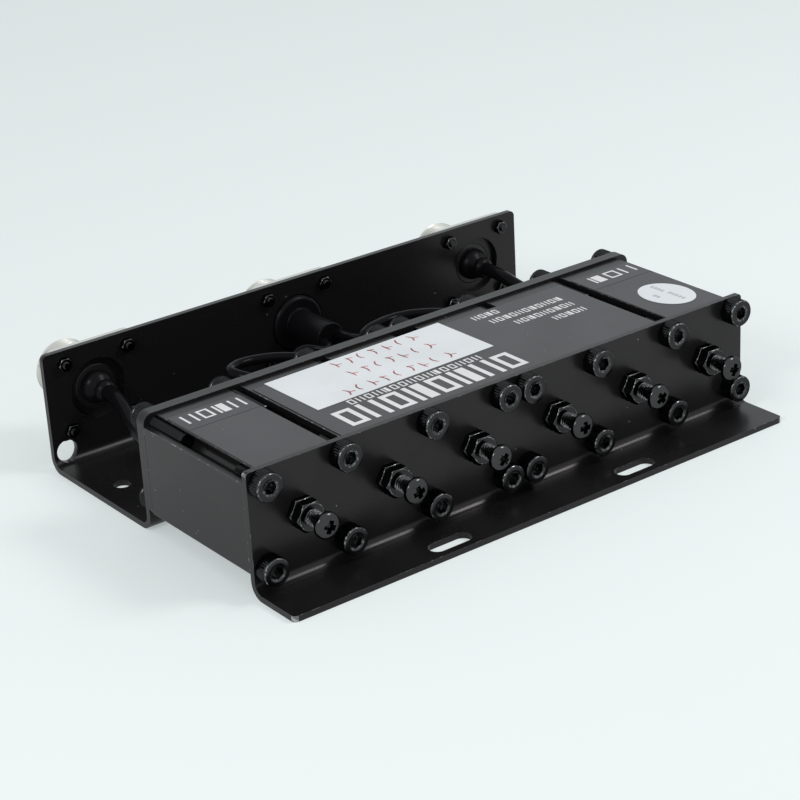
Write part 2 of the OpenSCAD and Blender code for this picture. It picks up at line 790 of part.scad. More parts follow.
port_shell(connector_x[1], antenna_reach);  // antenna_port_shell
port_shell(connector_x[2], port_reach);  // low_port_shell
port_insulator(connector_x[0], port_reach);  // high_port_insulator
port_insulator(connector_x[1], antenna_reach);  // antenna_port_insulator
port_insulator(connector_x[2], port_reach);  // low_port_insulator
port_contact(connector_x[0], port_reach);  // high_port_contact
port_contact(connector_x[1], antenna_reach);  // antenna_port_contact
port_contact(connector_x[2], port_reach);  // low_port_contact
connector_screws();
connector_nuts();
port_boot(connector_x[0]);  // high_feed_boot
port_boot(connector_x[2]);  // low_feed_boot
antenna_tee();
cable(high_feed_route, feed_d);  // high_feed_cable
cable(low_feed_route, feed_d);  // low_feed_cable
cable(left_antenna_route, jumper_d);  // left_antenna_cable
cable(right_antenna_route, jumper_d);  // right_antenna_cable
cable(jumper_1_route, jumper_d);  // jumper_cable_1
cable(jumper_2_route, jumper_d);  // jumper_cable_2
cable(jumper_3_route, jumper_d);  // jumper_cable_3
cable(jumper_4_route, jumper_d);  // jumper_cable_4
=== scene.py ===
"""Looks of a small cavity duplexer: finishes, threads, knurls, print, labels, cables and stage."""

import math

import bmesh
import bpy
from mathutils import Matrix, Vector


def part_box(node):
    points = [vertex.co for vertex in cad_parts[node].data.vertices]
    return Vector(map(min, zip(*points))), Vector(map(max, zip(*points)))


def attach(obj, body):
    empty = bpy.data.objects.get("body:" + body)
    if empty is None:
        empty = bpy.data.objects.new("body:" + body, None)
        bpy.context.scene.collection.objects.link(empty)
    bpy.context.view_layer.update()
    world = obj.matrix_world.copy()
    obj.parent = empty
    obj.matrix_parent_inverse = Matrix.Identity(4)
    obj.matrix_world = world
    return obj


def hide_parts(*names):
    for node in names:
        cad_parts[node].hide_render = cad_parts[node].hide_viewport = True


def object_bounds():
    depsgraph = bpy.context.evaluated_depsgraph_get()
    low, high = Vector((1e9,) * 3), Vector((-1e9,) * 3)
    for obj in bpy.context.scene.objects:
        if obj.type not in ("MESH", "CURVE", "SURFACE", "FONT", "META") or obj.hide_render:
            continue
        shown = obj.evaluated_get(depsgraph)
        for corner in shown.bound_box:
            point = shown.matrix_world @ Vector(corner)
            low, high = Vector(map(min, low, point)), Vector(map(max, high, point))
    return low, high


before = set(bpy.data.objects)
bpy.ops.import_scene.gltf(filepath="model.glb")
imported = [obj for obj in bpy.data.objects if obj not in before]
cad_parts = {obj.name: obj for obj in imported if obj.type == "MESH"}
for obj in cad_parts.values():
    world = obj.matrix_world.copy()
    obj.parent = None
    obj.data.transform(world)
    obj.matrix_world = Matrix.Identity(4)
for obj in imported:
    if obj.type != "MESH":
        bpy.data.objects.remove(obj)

bl_info = {
    "name": "Cavity duplexer looks",
    "version": (1, 0, 0),
    "blender": (4, 5, 0),
    "location": "3D Viewport > Sidebar > Duplexer",
    "description": "Dresses the cavity duplexer piece by piece and sets its stage",
    "category": "Add Mesh",
}

MM = 0.001
WELD = 2e-7  # vertices closer than this are one
SHARP = math.radians(34)  # edges sharper than this are rounded, and break the shading
SHEET = 1.55 * MM  # thickness of the brackets' sheet
M4_R = 2 * MM  # radius of the case and tuning screws' shanks
CAP_HEAD_H = 4 * MM  # height of a case screw's head
SUNK = 0.005 * MM  # how deep print and pen reach into the face below
THIN_INK = 0.01 * MM  # height of pen strokes, small marks and the painted shade at the film seams
BARE = 4.0  # rub of a corner that is worn through to the metal
NEUTRAL = (1.0, 0.92, 0.93, 1.0)  # takes the room's faint blue out of the gloss on black
DUST = (0.22, 0.22, 0.22, 1)
CAD_LOW, CAD_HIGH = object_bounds()

# Local Z of a fastener points into the part: from the front to the back, or the other way
FROM_FRONT = Matrix.Rotation(math.radians(-90), 4, "X")
FROM_BACK = Matrix.Rotation(math.radians(90), 4, "X")


# Settings

class DuplexerFinishes(bpy.types.PropertyGroup):
    """Colours of the finishes, in linear light"""

    anodised: bpy.props.FloatVectorProperty(
        name="Anodising", description="Black anodised brackets and blocks",
        subtype="COLOR", min=0, max=1, default=(0.0078, 0.0076, 0.0082))
    oxide: bpy.props.FloatVectorProperty(
        name="Black steel", description="Blackened screws, nuts and bushings",
        subtype="COLOR", min=0, max=1, default=(0.042, 0.042, 0.043))
    polished: bpy.props.FloatVectorProperty(
        name="Polished steel", description="Dark polished heads of the tuning screws",
        subtype="COLOR", min=0, max=1, default=(0.06, 0.06, 0.061))
    # This colour also paints the highlight on the tuning screws' thread flanks that face the head
    rubbed_and_highlight: bpy.props.FloatVectorProperty(
        name="Rubbed steel and painted highlight", description="Edges where the black is rubbed off",
        subtype="COLOR", min=0, max=1, default=(0.55, 0.55, 0.56))
    film: bpy.props.FloatVectorProperty(
        name="Film", description="Dark grey panels on the blocks",
        subtype="COLOR", min=0, max=1, default=(0.045, 0.045, 0.05))
    ink: bpy.props.FloatVectorProperty(
        name="Print", description="White print on the panels",
        subtype="COLOR", min=0, max=1, default=(0.78, 0.79, 0.8))
    paper: bpy.props.FloatVectorProperty(
        name="Paper", description="Paper label and oval sticker",
        subtype="COLOR", min=0, max=1, default=(0.78, 0.82, 0.85))
    pen: bpy.props.FloatVectorProperty(
        name="Pen", description="Red pen strokes on the paper label",
        subtype="COLOR", min=0, max=1, default=(0.75, 0.24, 0.25))
    marks: bpy.props.FloatVectorProperty(
        name="Sticker marks", description="Small grey marks on the oval sticker",
        subtype="COLOR", min=0, max=1, default=(0.14, 0.15, 0.17))
    nickel: bpy.props.FloatVectorProperty(
        name="Nickel", description="Plated sockets",
        subtype="COLOR", min=0, max=1, default=(0.68, 0.66, 0.62))
    brass: bpy.props.FloatVectorProperty(
        name="Brass", description="Tuning slugs and centre contacts",
        subtype="COLOR", min=0, max=1, default=(0.74, 0.53, 0.24))
    silver: bpy.props.FloatVectorProperty(
        name="Silvered wire", description="Resonator coils",
        subtype="COLOR", min=0, max=1, default=(0.82, 0.8, 0.75))
    insulator: bpy.props.FloatVectorProperty(
        name="Insulator", description="Black plastic in the sockets",
        subtype="COLOR", min=0, max=1, default=(0.012, 0.012, 0.012))
    jacket: bpy.props.FloatVectorProperty(
        name="Jacket", description="Cables, boots and the tee",
        subtype="COLOR", min=0, max=1, default=(0.005, 0.005, 0.006))


class DuplexerSizes(bpy.types.PropertyGroup):
    """Sizes of the fine detail, in metres"""

    sheet_edge: bpy.props.FloatProperty(
        name="Sheet edge", description="Rounding along the edges of sheet and blocks",
        subtype="DISTANCE", default=0.2 * MM, min=0, max=0.3 * MM)
    nut_edge: bpy.props.FloatProperty(
        name="Nut edge", description="Rounding along the edges of nuts and small turned pieces",
        subtype="DISTANCE", default=0.1 * MM, min=0, max=0.3 * MM)
    case_pitch: bpy.props.FloatProperty(
        name="Case screw pitch", description="Thread pitch of the case and tuning screws",
        subtype="DISTANCE", default=0.7 * MM, min=0.4 * MM, max=1.2 * MM)
    barrel_pitch: bpy.props.FloatProperty(
        name="Barrel pitch", description="Thread pitch of the coaxial barrels",
        subtype="DISTANCE", default=25.4 * MM / 24, min=0.6 * MM, max=1.6 * MM)
    fine_pitch: bpy.props.FloatProperty(
        name="Connector screw pitch", description="Thread pitch of the connector screws",
        subtype="DISTANCE", default=0.4 * MM, min=0.3 * MM, max=0.6 * MM)
    knurls: bpy.props.IntProperty(
        name="Knurls", description="Grooves round the head of a case screw",
        default=36, min=12, max=60)
    knurl_depth: bpy.props.FloatProperty(
        name="Knurl depth", description="Depth of the grooves round the head",
        subtype="DISTANCE", default=0.18 * MM, min=0, max=0.3 * MM)
    print_height: bpy.props.FloatProperty(
        name="Print height", description="Thickness of the printed ink",
        subtype="DISTANCE", default=0.03 * MM, min=0.01 * MM, max=0.1 * MM)
    pen_width: bpy.props.FloatProperty(
        name="Pen width", description="Width of the pen strokes on the paper label",
        subtype="DISTANCE", default=0.42 * MM, min=0.1 * MM, max=1 * MM)


class DuplexerStage(bpy.types.PropertyGroup):
    """Camera, lamps and floor"""

    camera_place: bpy.props.FloatVectorProperty(
        name="Camera", description="Where the camera stands", subtype="TRANSLATION",
        default=(-0.3130, -0.43075, 0.2457))
    look: bpy.props.FloatVectorProperty(
        name="Look", description="The direction in which the camera looks", subtype="DIRECTION",
        default=(0.5496, 0.7289, -0.4083))
    roll: bpy.props.FloatProperty(
        name="Roll", description="How far the camera leans", subtype="ANGLE",
        default=math.radians(-2.94))
    lens: bpy.props.FloatProperty(
        name="Lens", description="Focal length in millimetres", default=101.96, min=20, max=300)
    shift: bpy.props.FloatVectorProperty(
        name="Shift", description="Lens shift, as a share of the sensor", size=2,
        default=(-0.0433, 0.0093))
    floor_tone: bpy.props.FloatVectorProperty(
        name="Floor", description="Colour of the floor", subtype="COLOR", min=0, max=1,
        default=(0.92, 0.975, 0.97))
    wall_tone: bpy.props.FloatVectorProperty(
        name="Backdrop", description="Colour of the room behind the object", subtype="COLOR",
        min=0, max=1, default=(0.84, 0.91, 0.92))
    floor_lift: bpy.props.FloatProperty(
        name="Floor lift", description="Share of the backdrop's colour in the floor as seen",
        subtype="FACTOR", default=0.4, min=0, max=1)
    sky: bpy.props.FloatProperty(
        name="Sky", description="Strength of the light from all around", default=0.54, min=0)
    key: bpy.props.FloatProperty(
        name="Key lamp", description="Power of the lamp at the front right in watts",
        subtype="POWER", default=2.3, min=0)
    fill: bpy.props.FloatProperty(
        name="Side lamp", description="Power of the large lamp at the left in watts",
        subtype="POWER", default=1.6, min=0)


def finishes():
    return bpy.context.scene.duplexer_finishes


def sizes():
    return bpy.context.scene.duplexer_sizes


# Mesh helpers

def merged(bm, distance=WELD):
    bmesh.ops.remove_doubles(bm, verts=bm.verts, dist=distance)
    return bm


def solid_of(node):
    """The solids of a CAD node, with loose triangles merged and flat faces in one piece."""
    bm = bmesh.new()
    bm.from_mesh(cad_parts[node].data)
    merged(bm)
    bmesh.ops.dissolve_limit(bm, angle_limit=math.radians(0.4), verts=bm.verts, edges=bm.edges)
    return bm


def islands(bm):
    """The vertices of each separate solid."""
    left = set(bm.verts)
    found = []
    while left:
        stack = [left.pop()]
        island = []
        while stack:
            vert = stack.pop()
            island.append(vert)
            for edge in vert.link_edges:
                other = edge.other_vert(vert)
                if other in left:
                    left.remove(other)
                    stack.append(other)
        found.append(island)
    return found


def corners(verts):
    """Lowest and highest corner of some vertices."""
    points = [v.co for v in verts]
    return Vector(map(min, *points)), Vector(map(max, *points))


def centre(low, high, y):
    """The middle of a box in X and Z, at a given Y."""
    return Vector(((low.x + high.x) / 2, y, (low.z + high.z) / 2))


def solid_boxes(node):
    """Lowest and highest corner of each solid of a CAD node, left to right and low to high."""
    bm = solid_of(node)
    boxes = [corners(island) for island in islands(bm)]
    bm.free()
    return sorted(boxes, key=lambda box: (round(box[0].x, 4), round(box[0].z, 4)))


def rub_and_highlight_layer(bm):
    """The layer of rubbed wear on each face, which also carries the painted highlights, with 1
    along the edges.
    """
    return bm.faces.layers.float.get("rub_and_highlight") or bm.faces.layers.float.new("rub_and_highlight")


def soften(bm, radius, segments=2, above=SHARP):
    """Rounds the sharp edges of a closed solid and marks the rounding as rubbed."""
    rub_and_highlight = rub_and_highlight_layer(bm)
    sharp = [e for e in bm.edges if len(e.link_faces) == 2 and e.calc_face_angle() > above]
    made = bmesh.ops.bevel(
        bm, geom=sharp, offset=radius, offset_type="OFFSET", segments=segments, profile=0.5,
        affect="EDGES", clamp_overlap=True, material=-1)
    for face in made["faces"]:
        face[rub_and_highlight] = 1.0
    return bm


def shade(bm):
    """Smooth shading that breaks at sharp edges."""
    for face in bm.faces:
        face.smooth = True
    for edge in bm.edges:
        edge.smooth = len(edge.link_faces) == 2 and edge.calc_face_angle() < SHARP


def mesh_of(bm, name):
    """Mesh data made of a mesh in the making, which is freed."""
    mesh = bpy.data.meshes.new(name)
    bm.to_mesh(mesh)
    bm.free()
    return mesh


def linked(name, data):
    """A new object in the scene."""
    obj = bpy.data.objects.new(name, data)
    bpy.context.scene.collection.objects.link(obj)
    return obj


def piece(bm, name, material, slot, body="housing", nodes=(), outward=True):
    """Makes a finished piece of a mesh, rides it on its body and hides the nodes it stands for."""
    if outward:
        bmesh.ops.recalc_face_normals(bm, faces=bm.faces)
    shade(bm)
    obj = linked(name, mesh_of(bm, name))
    obj.data.materials.append(material)
    even = obj.modifiers.new("Even shading", "WEIGHTED_NORMAL")
    even.keep_sharp = True
    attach(obj, body)
    if nodes:
        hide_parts(*nodes)
    return obj


def dress(bm, node, material, slot, **options):
    """Makes the finished piece that stands for one CAD node."""
    return piece(bm, node + "_finished", material, slot, nodes=[node], **options)


def rounded(node, radius, material, slot, segments=2, above=SHARP, **options):
    """Makes the finished piece of a CAD node that only gets rounded edges."""
    dress(soften(solid_of(node), radius, segments, above), node, material, slot, **options)


def stamp(target, pattern, matrix):
    """Adds a copy of the pattern to the target, moved by the matrix."""
    known = set(target.verts)
    target.from_mesh(pattern)
    fresh = [v for v in target.verts if v not in known]
    bmesh.ops.transform(target, matrix=matrix, verts=fresh)


def as_pattern(bm):
    """Keeps a mesh for stamping."""
    bmesh.ops.recalc_face_normals(bm, faces=bm.faces)
    return mesh_of(bm, "pattern")


def lathe(bm, outline, sides):
    """Spins an outline of (radius, height) points round the Z axis."""
    verts = [bm.verts.new((radius, 0, height)) for radius, height in outline]
    edges = [bm.edges.new(pair) for pair in zip(verts, verts[1:])]
    bmesh.ops.spin(
        bm, geom=verts + edges, cent=(0, 0, 0), axis=(0, 0, 1), angle=math.tau, steps=sides,
        use_merge=True)
    merged(bm)


def end_loop(bm, height):
    """The open edges that lie at a height."""
    return [e for e in bm.edges if e.is_boundary
            and all(abs(v.co.z - height) < WELD for v in e.verts)]


def keep_side(bm, point, normal, behind=True):
    """Cuts a mesh at a plane and keeps what lies behind it, or else before it."""
    bmesh.ops.bisect_plane(
        bm, geom=bm.verts[:] + bm.edges[:] + bm.faces[:], dist=1e-8, plane_co=point,
        plane_no=normal, clear_outer=behind, clear_inner=not behind)


def thread(radius, pitch, start, stop, sides, chamfer):
    """A threaded surface round the Z axis, open at both ends, as a new mesh.

    One pitch of its outline is wound from two turns before the start to two turns past the
    stop, and both ends are cut off square.
    """
    depth = 0.58 * pitch
    bm = bmesh.new()
    outline = [(-depth, 0), (-depth, 0.1), (0, 0.42), (0, 0.58), (-depth, 0.9), (-depth, 1)]
    verts = [bm.verts.new((radius + x, 0, start + (z - 2) * pitch)) for x, z in outline]
    edges = [bm.edges.new(pair) for pair in zip(verts, verts[1:])]
    turns = math.ceil((stop - start) / pitch) + 4
    bmesh.ops.spin(
        bm, geom=verts + edges, cent=(0, 0, 0), axis=(0, 0, 1), angle=math.tau * turns,
        steps=sides * turns, dvec=(0, 0, pitch / sides), use_merge=False)
    merged(bm, 1e-6)
    for height, behind in ((start, False), (stop, True)):
        keep_side(bm, (0, 0, height), (0, 0, 1), behind)
    for vert in bm.verts:
        limit = radius - max(0, vert.co.z - (stop - chamfer))
        reach = vert.co.xy.length
        if reach > limit:
            vert.co.xy *= limit / reach
    merged(bm, 1e-7)
    return bm


def close_ends(bm, *heights):
    """Closes the round openings that lie at some heights."""
    for height in heights:
        bmesh.ops.contextual_create(bm, geom=end_loop(bm, height))


def add_shank(bm, radius, pitch, start, stop, sides, chamfer):
    """Adds a threaded shank round the Z axis, with closed ends."""
    shank = thread(radius, pitch, start, stop, sides, chamfer)
    close_ends(shank, start, stop)
    stamp(bm, as_pattern(shank), Matrix.Identity(4))


def carve(bm, cutter):
    """Takes the cutter's shape out of a mesh."""
    pair = []
    for shape, name in ((bm, "carved"), (cutter, "cutter")):
        bmesh.ops.recalc_face_normals(shape, faces=shape.faces)
        pair.append(linked(name, mesh_of(shape, name)))
    cut = pair[0].modifiers.new("Cut", "BOOLEAN")
    cut.object = pair[1]
    cut.solver = "EXACT"
    graph = bpy.context.evaluated_depsgraph_get()
    result = bmesh.new()
    result.from_object(pair[0], graph)
    for obj in pair:
        mesh = obj.data
        bpy.data.objects.remove(obj)
        bpy.data.meshes.remove(mesh)
    return merged(result)


def block(bm, low, high):
    """A box between two corners."""
    size = Vector(high) - Vector(low)
    middle = (Vector(high) + Vector(low)) / 2
    made = bmesh.ops.create_cube(bm, size=1, matrix=Matrix.LocRotScale(middle, None, size))
    return made["verts"]


# Material helpers

def feed(socket, value):
    """Gives an input a plain value, or joins it to the output that makes one."""
    if isinstance(value, bpy.types.NodeSocket):
        socket.id_data.links.new(value, socket)
    else:
        socket.default_value = value


def add_node(tree, kind, place, inputs=None, **settings):
    """Adds a shader node at a place, makes its settings and feeds its inputs."""
    node = tree.nodes.new(kind)
    node.location = place
    for name, value in settings.items():
        setattr(node, name, value)
    for name, value in (inputs or {}).items():
        feed(node.inputs[name], value)
    return node


def calc(tree, place, operation, first, second, **settings):
    """The output of a math node that takes two values or outputs."""
    return add_node(tree, "ShaderNodeMath", place, {0: first, 1: second},
                    operation=operation, **settings).outputs[0]


def blend(tree, place, share, first, second, kind="RGBA"):
    """The output of a node that mixes two colours or numbers."""
    return add_node(tree, "ShaderNodeMix", place, {"Factor": share, "A": first, "B": second},
                    data_type=kind).outputs["Result"]


def group_tree(name, inputs, outputs):
    """A node group with a vector, numbers with defaults in and numbers out, built only once."""
    if name in bpy.data.node_groups:
        return bpy.data.node_groups[name], None, None
    tree = bpy.data.node_groups.new(name, "ShaderNodeTree")
    tree.interface.new_socket("Vector", in_out="INPUT", socket_type="NodeSocketVector")
    for label, default in inputs.items():
        socket = tree.interface.new_socket(label, in_out="INPUT", socket_type="NodeSocketFloat")
        socket.default_value = default
    for label in outputs:
        tree.interface.new_socket(label, in_out="OUTPUT", socket_type="NodeSocketFloat")
    enter = add_node(tree, "NodeGroupInput", (-900, 0))
    leave = add_node(tree, "NodeGroupOutput", (700, 0))
    return tree, enter, leave


def fine_grain():
    """Blasted or moulded micro texture: a height and a tone that both vary over the surface."""
    tree, enter, leave = group_tree(
        "Fine grain", {"Scale": 2500.0, "Cloud scale": 60.0}, ["Height", "Tone"])
    if enter:
        given = enter.outputs
        fine = add_node(tree, "ShaderNodeTexNoise", (-500, 150), {
            "Vector": given["Vector"], "Scale": given["Scale"], "Detail": 3.0})
        cloud = add_node(tree, "ShaderNodeTexNoise", (-500, -150), {
            "Vector": given["Vector"], "Scale": given["Cloud scale"], "Detail": 4.0})
        spread = add_node(tree, "ShaderNodeMapRange", (-200, -150), {
            "Value": cloud.outputs["Fac"], "From Min": 0.32, "From Max": 0.68})
        feed(leave.inputs["Height"], fine.outputs["Fac"])
        feed(leave.inputs["Tone"], spread.outputs["Result"])
    return tree


def rubbed_edges_and_highlights():
    """Mask of the edges where the finish has been rubbed off and of the faces with a painted
    highlight, broken up by noise.

    Sparse is how much of the noise is left out, Least is what shows between its spots, and a
    spot is full where the noise passes Sparse by 0.12.
    """
    tree, enter, leave = group_tree(
        "Rubbed edges and painted highlights", {"Amount": 0.6, "Scale": 900.0, "Sparse": 0.45, "Least": 0.3}, ["Mask"])
    if enter:
        given = enter.outputs
        mark = add_node(tree, "ShaderNodeAttribute", (-500, 150), attribute_name="rub_and_highlight")
        noise = add_node(tree, "ShaderNodeTexNoise", (-650, -100), {
            "Vector": given["Vector"], "Scale": given["Scale"], "Detail": 3.0})
        full = calc(tree, (-500, -300), "ADD", given["Sparse"], 0.12)
        spots = add_node(tree, "ShaderNodeMapRange", (-250, -100), {
            "Value": noise.outputs["Fac"], "From Min": given["Sparse"],
            "From Max": full, "To Min": given["Least"], "To Max": 1.0})
        both = calc(tree, (0, 50), "MULTIPLY", mark.outputs["Fac"], spots.outputs["Result"])
        much = calc(tree, (250, 50), "MULTIPLY", both, given["Amount"], use_clamp=True)
        feed(leave.inputs["Mask"], much)
    return tree


def dust():
    """Mask of tiny specks of dust, a few in each square centimetre."""
    tree, enter, leave = group_tree("Dust", {"Scale": 300.0, "Share": 0.3}, ["Mask"])
    if enter:
        given = enter.outputs
        cell = add_node(tree, "ShaderNodeTexVoronoi", (-500, 0), {
            "Vector": given["Vector"], "Scale": given["Scale"]})
        parts = add_node(tree, "ShaderNodeSeparateColor", (-350, -150), {
            "Color": cell.outputs["Color"]})
        speck = calc(tree, (-200, 100), "LESS_THAN", cell.outputs["Distance"], 0.05)
        chosen = calc(tree, (-200, -100), "LESS_THAN", parts.outputs["Red"], given["Share"])
        feed(leave.inputs["Mask"], calc(tree, (100, 0), "MULTIPLY", speck, chosen))
    return tree


def surface(name, colour, roughness, metallic=0.0, grain=0.0, scale=2500.0, spread=0.08,
            rub_and_highlight=None, specks=0.0, fixed=None):
    """A material whose roughness, tone and relief vary finely, with edges that may be rubbed and
    faces that may carry a painted highlight.

    spread is how far roughness and tone drift over the surface. rub_and_highlight holds the
    amount, scale, sparseness, least, colour and roughness of the rubbed edges and painted
    highlights, specks the share of cells with a speck of dust, and fixed holds plain socket
    values.
    """
    if name in bpy.data.materials:
        return bpy.data.materials[name]
    material = bpy.data.materials.new(name)
    material.use_nodes = True
    tree = material.node_tree
    shader = tree.nodes["Principled BSDF"]
    shader.location = (500, 0)
    place = add_node(tree, "ShaderNodeTexCoord", (-1100, 0)).outputs["Object"]
    texture = add_node(tree, "ShaderNodeGroup", (-850, 0), {"Scale": scale, "Vector": place},
                       node_tree=fine_grain())
    tone = texture.outputs["Tone"]
    dark = [c * (1 - 1.5 * spread) for c in colour]
    colour = blend(tree, (-300, 250), tone, (*colour, 1), (*dark, 1))
    roughness = add_node(tree, "ShaderNodeMapRange", (-300, -100), {
        "Value": tone, "To Min": roughness - spread / 2,
        "To Max": roughness + spread / 2}).outputs["Result"]
    if specks:
        mask = add_node(tree, "ShaderNodeGroup", (-850, -600), {
            "Share": specks, "Vector": place}, node_tree=dust()).outputs["Mask"]
        colour = blend(tree, (-100, 450), mask, colour, DUST)
    if rub_and_highlight:
        amount, rub_scale, sparse, least, rub_and_highlight_colour, rub_roughness = rub_and_highlight
        mask = add_node(tree, "ShaderNodeGroup", (-850, -300), {
            "Vector": place, "Amount": amount, "Scale": rub_scale, "Sparse": sparse,
            "Least": least}, node_tree=rubbed_edges_and_highlights()).outputs["Mask"]
        colour = blend(tree, (0, 250), mask, colour, (*rub_and_highlight_colour, 1))
        roughness = blend(tree, (0, -100), mask, roughness, rub_roughness, "FLOAT")
        metallic = blend(tree, (0, -350), mask, metallic, 1.0, "FLOAT")
    for label, value in {"Base Color": colour, "Roughness": roughness, "Metallic": metallic,
                         **(fixed or {})}.items():
        feed(shader.inputs[label], value)
    if grain:
        relief = add_node(tree, "ShaderNodeBump", (200, -500), {
            "Strength": grain, "Distance": 0.02 * MM, "Height": texture.outputs["Height"]})
        feed(shader.inputs["Normal"], relief.outputs["Normal"])
    return material


# Finishes

def anodised():
    return surface("Black anodising", finishes().anodised, 0.28, grain=0.3, scale=3200,
                   spread=0.05, rub_and_highlight=(0.75, 800, 0.56, 0.12, (0.4, 0.4, 0.41), 0.35),
                   specks=0.2, fixed={"Specular IOR Level": 0.3, "Specular Tint": NEUTRAL})


def black_steel():
    return surface("Black steel", finishes().oxide, 0.22, metallic=1.0, grain=0.15, scale=2600,
                   spread=0.1, rub_and_highlight=(0.45, 1500, 0.52, 0.12, finishes().rubbed_and_highlight, 0.22),
                   fixed={"Specular Tint": (0.35, 0.35, 0.35, 1)})


def polished_steel():
    # Its rubbed colour also paints the highlight on the thread flanks that face the head
    return surface("Dark polished steel", finishes().polished, 0.15, metallic=1.0, grain=0.1,
                   scale=2600, spread=0.1, rub_and_highlight=(0.4, 1500, 0.5, 0.25, finishes().rubbed_and_highlight, 0.18),
                   fixed={"Specular Tint": (0.5, 0.5, 0.5, 1)})


def film():
    return surface("Grey film", finishes().film, 0.4, grain=0.3, scale=4000, spread=0.05,
                   specks=0.12, fixed={"Specular IOR Level": 0.35, "Specular Tint": NEUTRAL})


def ink():
    return surface("White print", finishes().ink, 0.5, grain=0.2, scale=3000, spread=0.05)


# Near-black colour of the line along the seam in the end films: painted shade at the edge of the
# strip stuck over them
def seam_shade():
    return surface("Painted seam shade in the film", (0.008, 0.008, 0.008), 0.5, spread=0.05,
                   fixed={"Specular IOR Level": 0.2})


def paper():
    return surface("Label paper", finishes().paper, 0.6, grain=0.5, scale=1500, spread=0.05)


def pen():
    return surface("Red pen", finishes().pen, 0.55, grain=0.2, scale=2500, spread=0.3)


def sticker_marks():
    return surface("Grey marks", finishes().marks, 0.55, grain=0.2, scale=2500, spread=0.1)


def nickel():
    return surface("Nickel plate", finishes().nickel, 0.2, metallic=1.0, grain=0.15, scale=1800,
                   spread=0.08, rub_and_highlight=(0.5, 900, 0.4, 0.3, (0.85, 0.84, 0.8), 0.15))


def brass():
    return surface("Turned brass", finishes().brass, 0.26, metallic=1.0, grain=0.2, scale=2200,
                   spread=0.1, rub_and_highlight=(0.4, 900, 0.4, 0.3, (0.88, 0.7, 0.4), 0.2))


def silvered():
    return surface("Silvered wire", finishes().silver, 0.24, metallic=1.0, grain=0.15,
                   scale=2000, spread=0.1)


def insulator():
    return surface("Black plastic", finishes().insulator, 0.35, grain=0.2, scale=2500,
                   spread=0.05, fixed={"Specular IOR Level": 0.35})


def boot_rubber():
    return surface("Moulded rubber", finishes().jacket, 0.3, grain=0.2, scale=1500,
                   spread=0.06, fixed={"Specular IOR Level": 0.08, "Specular Tint": NEUTRAL})


def jacket():
    return surface("Glossy jacket", finishes().jacket, 0.15, grain=0.15, scale=1200,
                   spread=0.04, fixed={"Specular IOR Level": 0.05, "Specular Tint": NEUTRAL})


# Operators

class DUPLEXER_OT_sheet(bpy.types.Operator):
    """Rounds the edges of the brackets, the rear plate and the cavity blocks"""

    bl_idname = "duplexer.sheet"
    bl_label = "Brackets and blocks"

    def execute(self, context):
        low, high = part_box("front_bracket")
        reach = 2.6 * MM  # of the bare metal round a worn corner
        worn = [Vector((x, y, z)) for x in (low.x, high.x)
                for y, z in ((low.y, low.z + SHEET), (high.y, high.z))]
        # Painted shade in the groove where the two rear sheets lie close: a band along it keeps
        # most of its black
        seam_shade, band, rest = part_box("rear_plate")[0].y + 0.5 * MM, 3 * MM, 0.15
        for node in ("front_bracket", "rear_plate", "rear_bracket", "left_cavity_block",
                     "right_cavity_block"):
            edge = sizes().sheet_edge * (2 if node == "rear_plate" else 1)
            bm = soften(solid_of(node), edge)
            rub_and_highlight = rub_and_highlight_layer(bm)
            for face in bm.faces:
                middle = face.calc_center_median()
                near = min((middle - corner).length for corner in worn) < reach
                if near and (face[rub_and_highlight] or abs(face.normal.z) < 0.8):
                    face[rub_and_highlight] = BARE
                # painted shade: the rub along the groove between the rear sheets is cut down
                elif seam_shade < middle.y < seam_shade + band:
                    face[rub_and_highlight] *= rest
            dress(bm, node, anodised(), "anodised_aluminium")
        return {"FINISHED"}


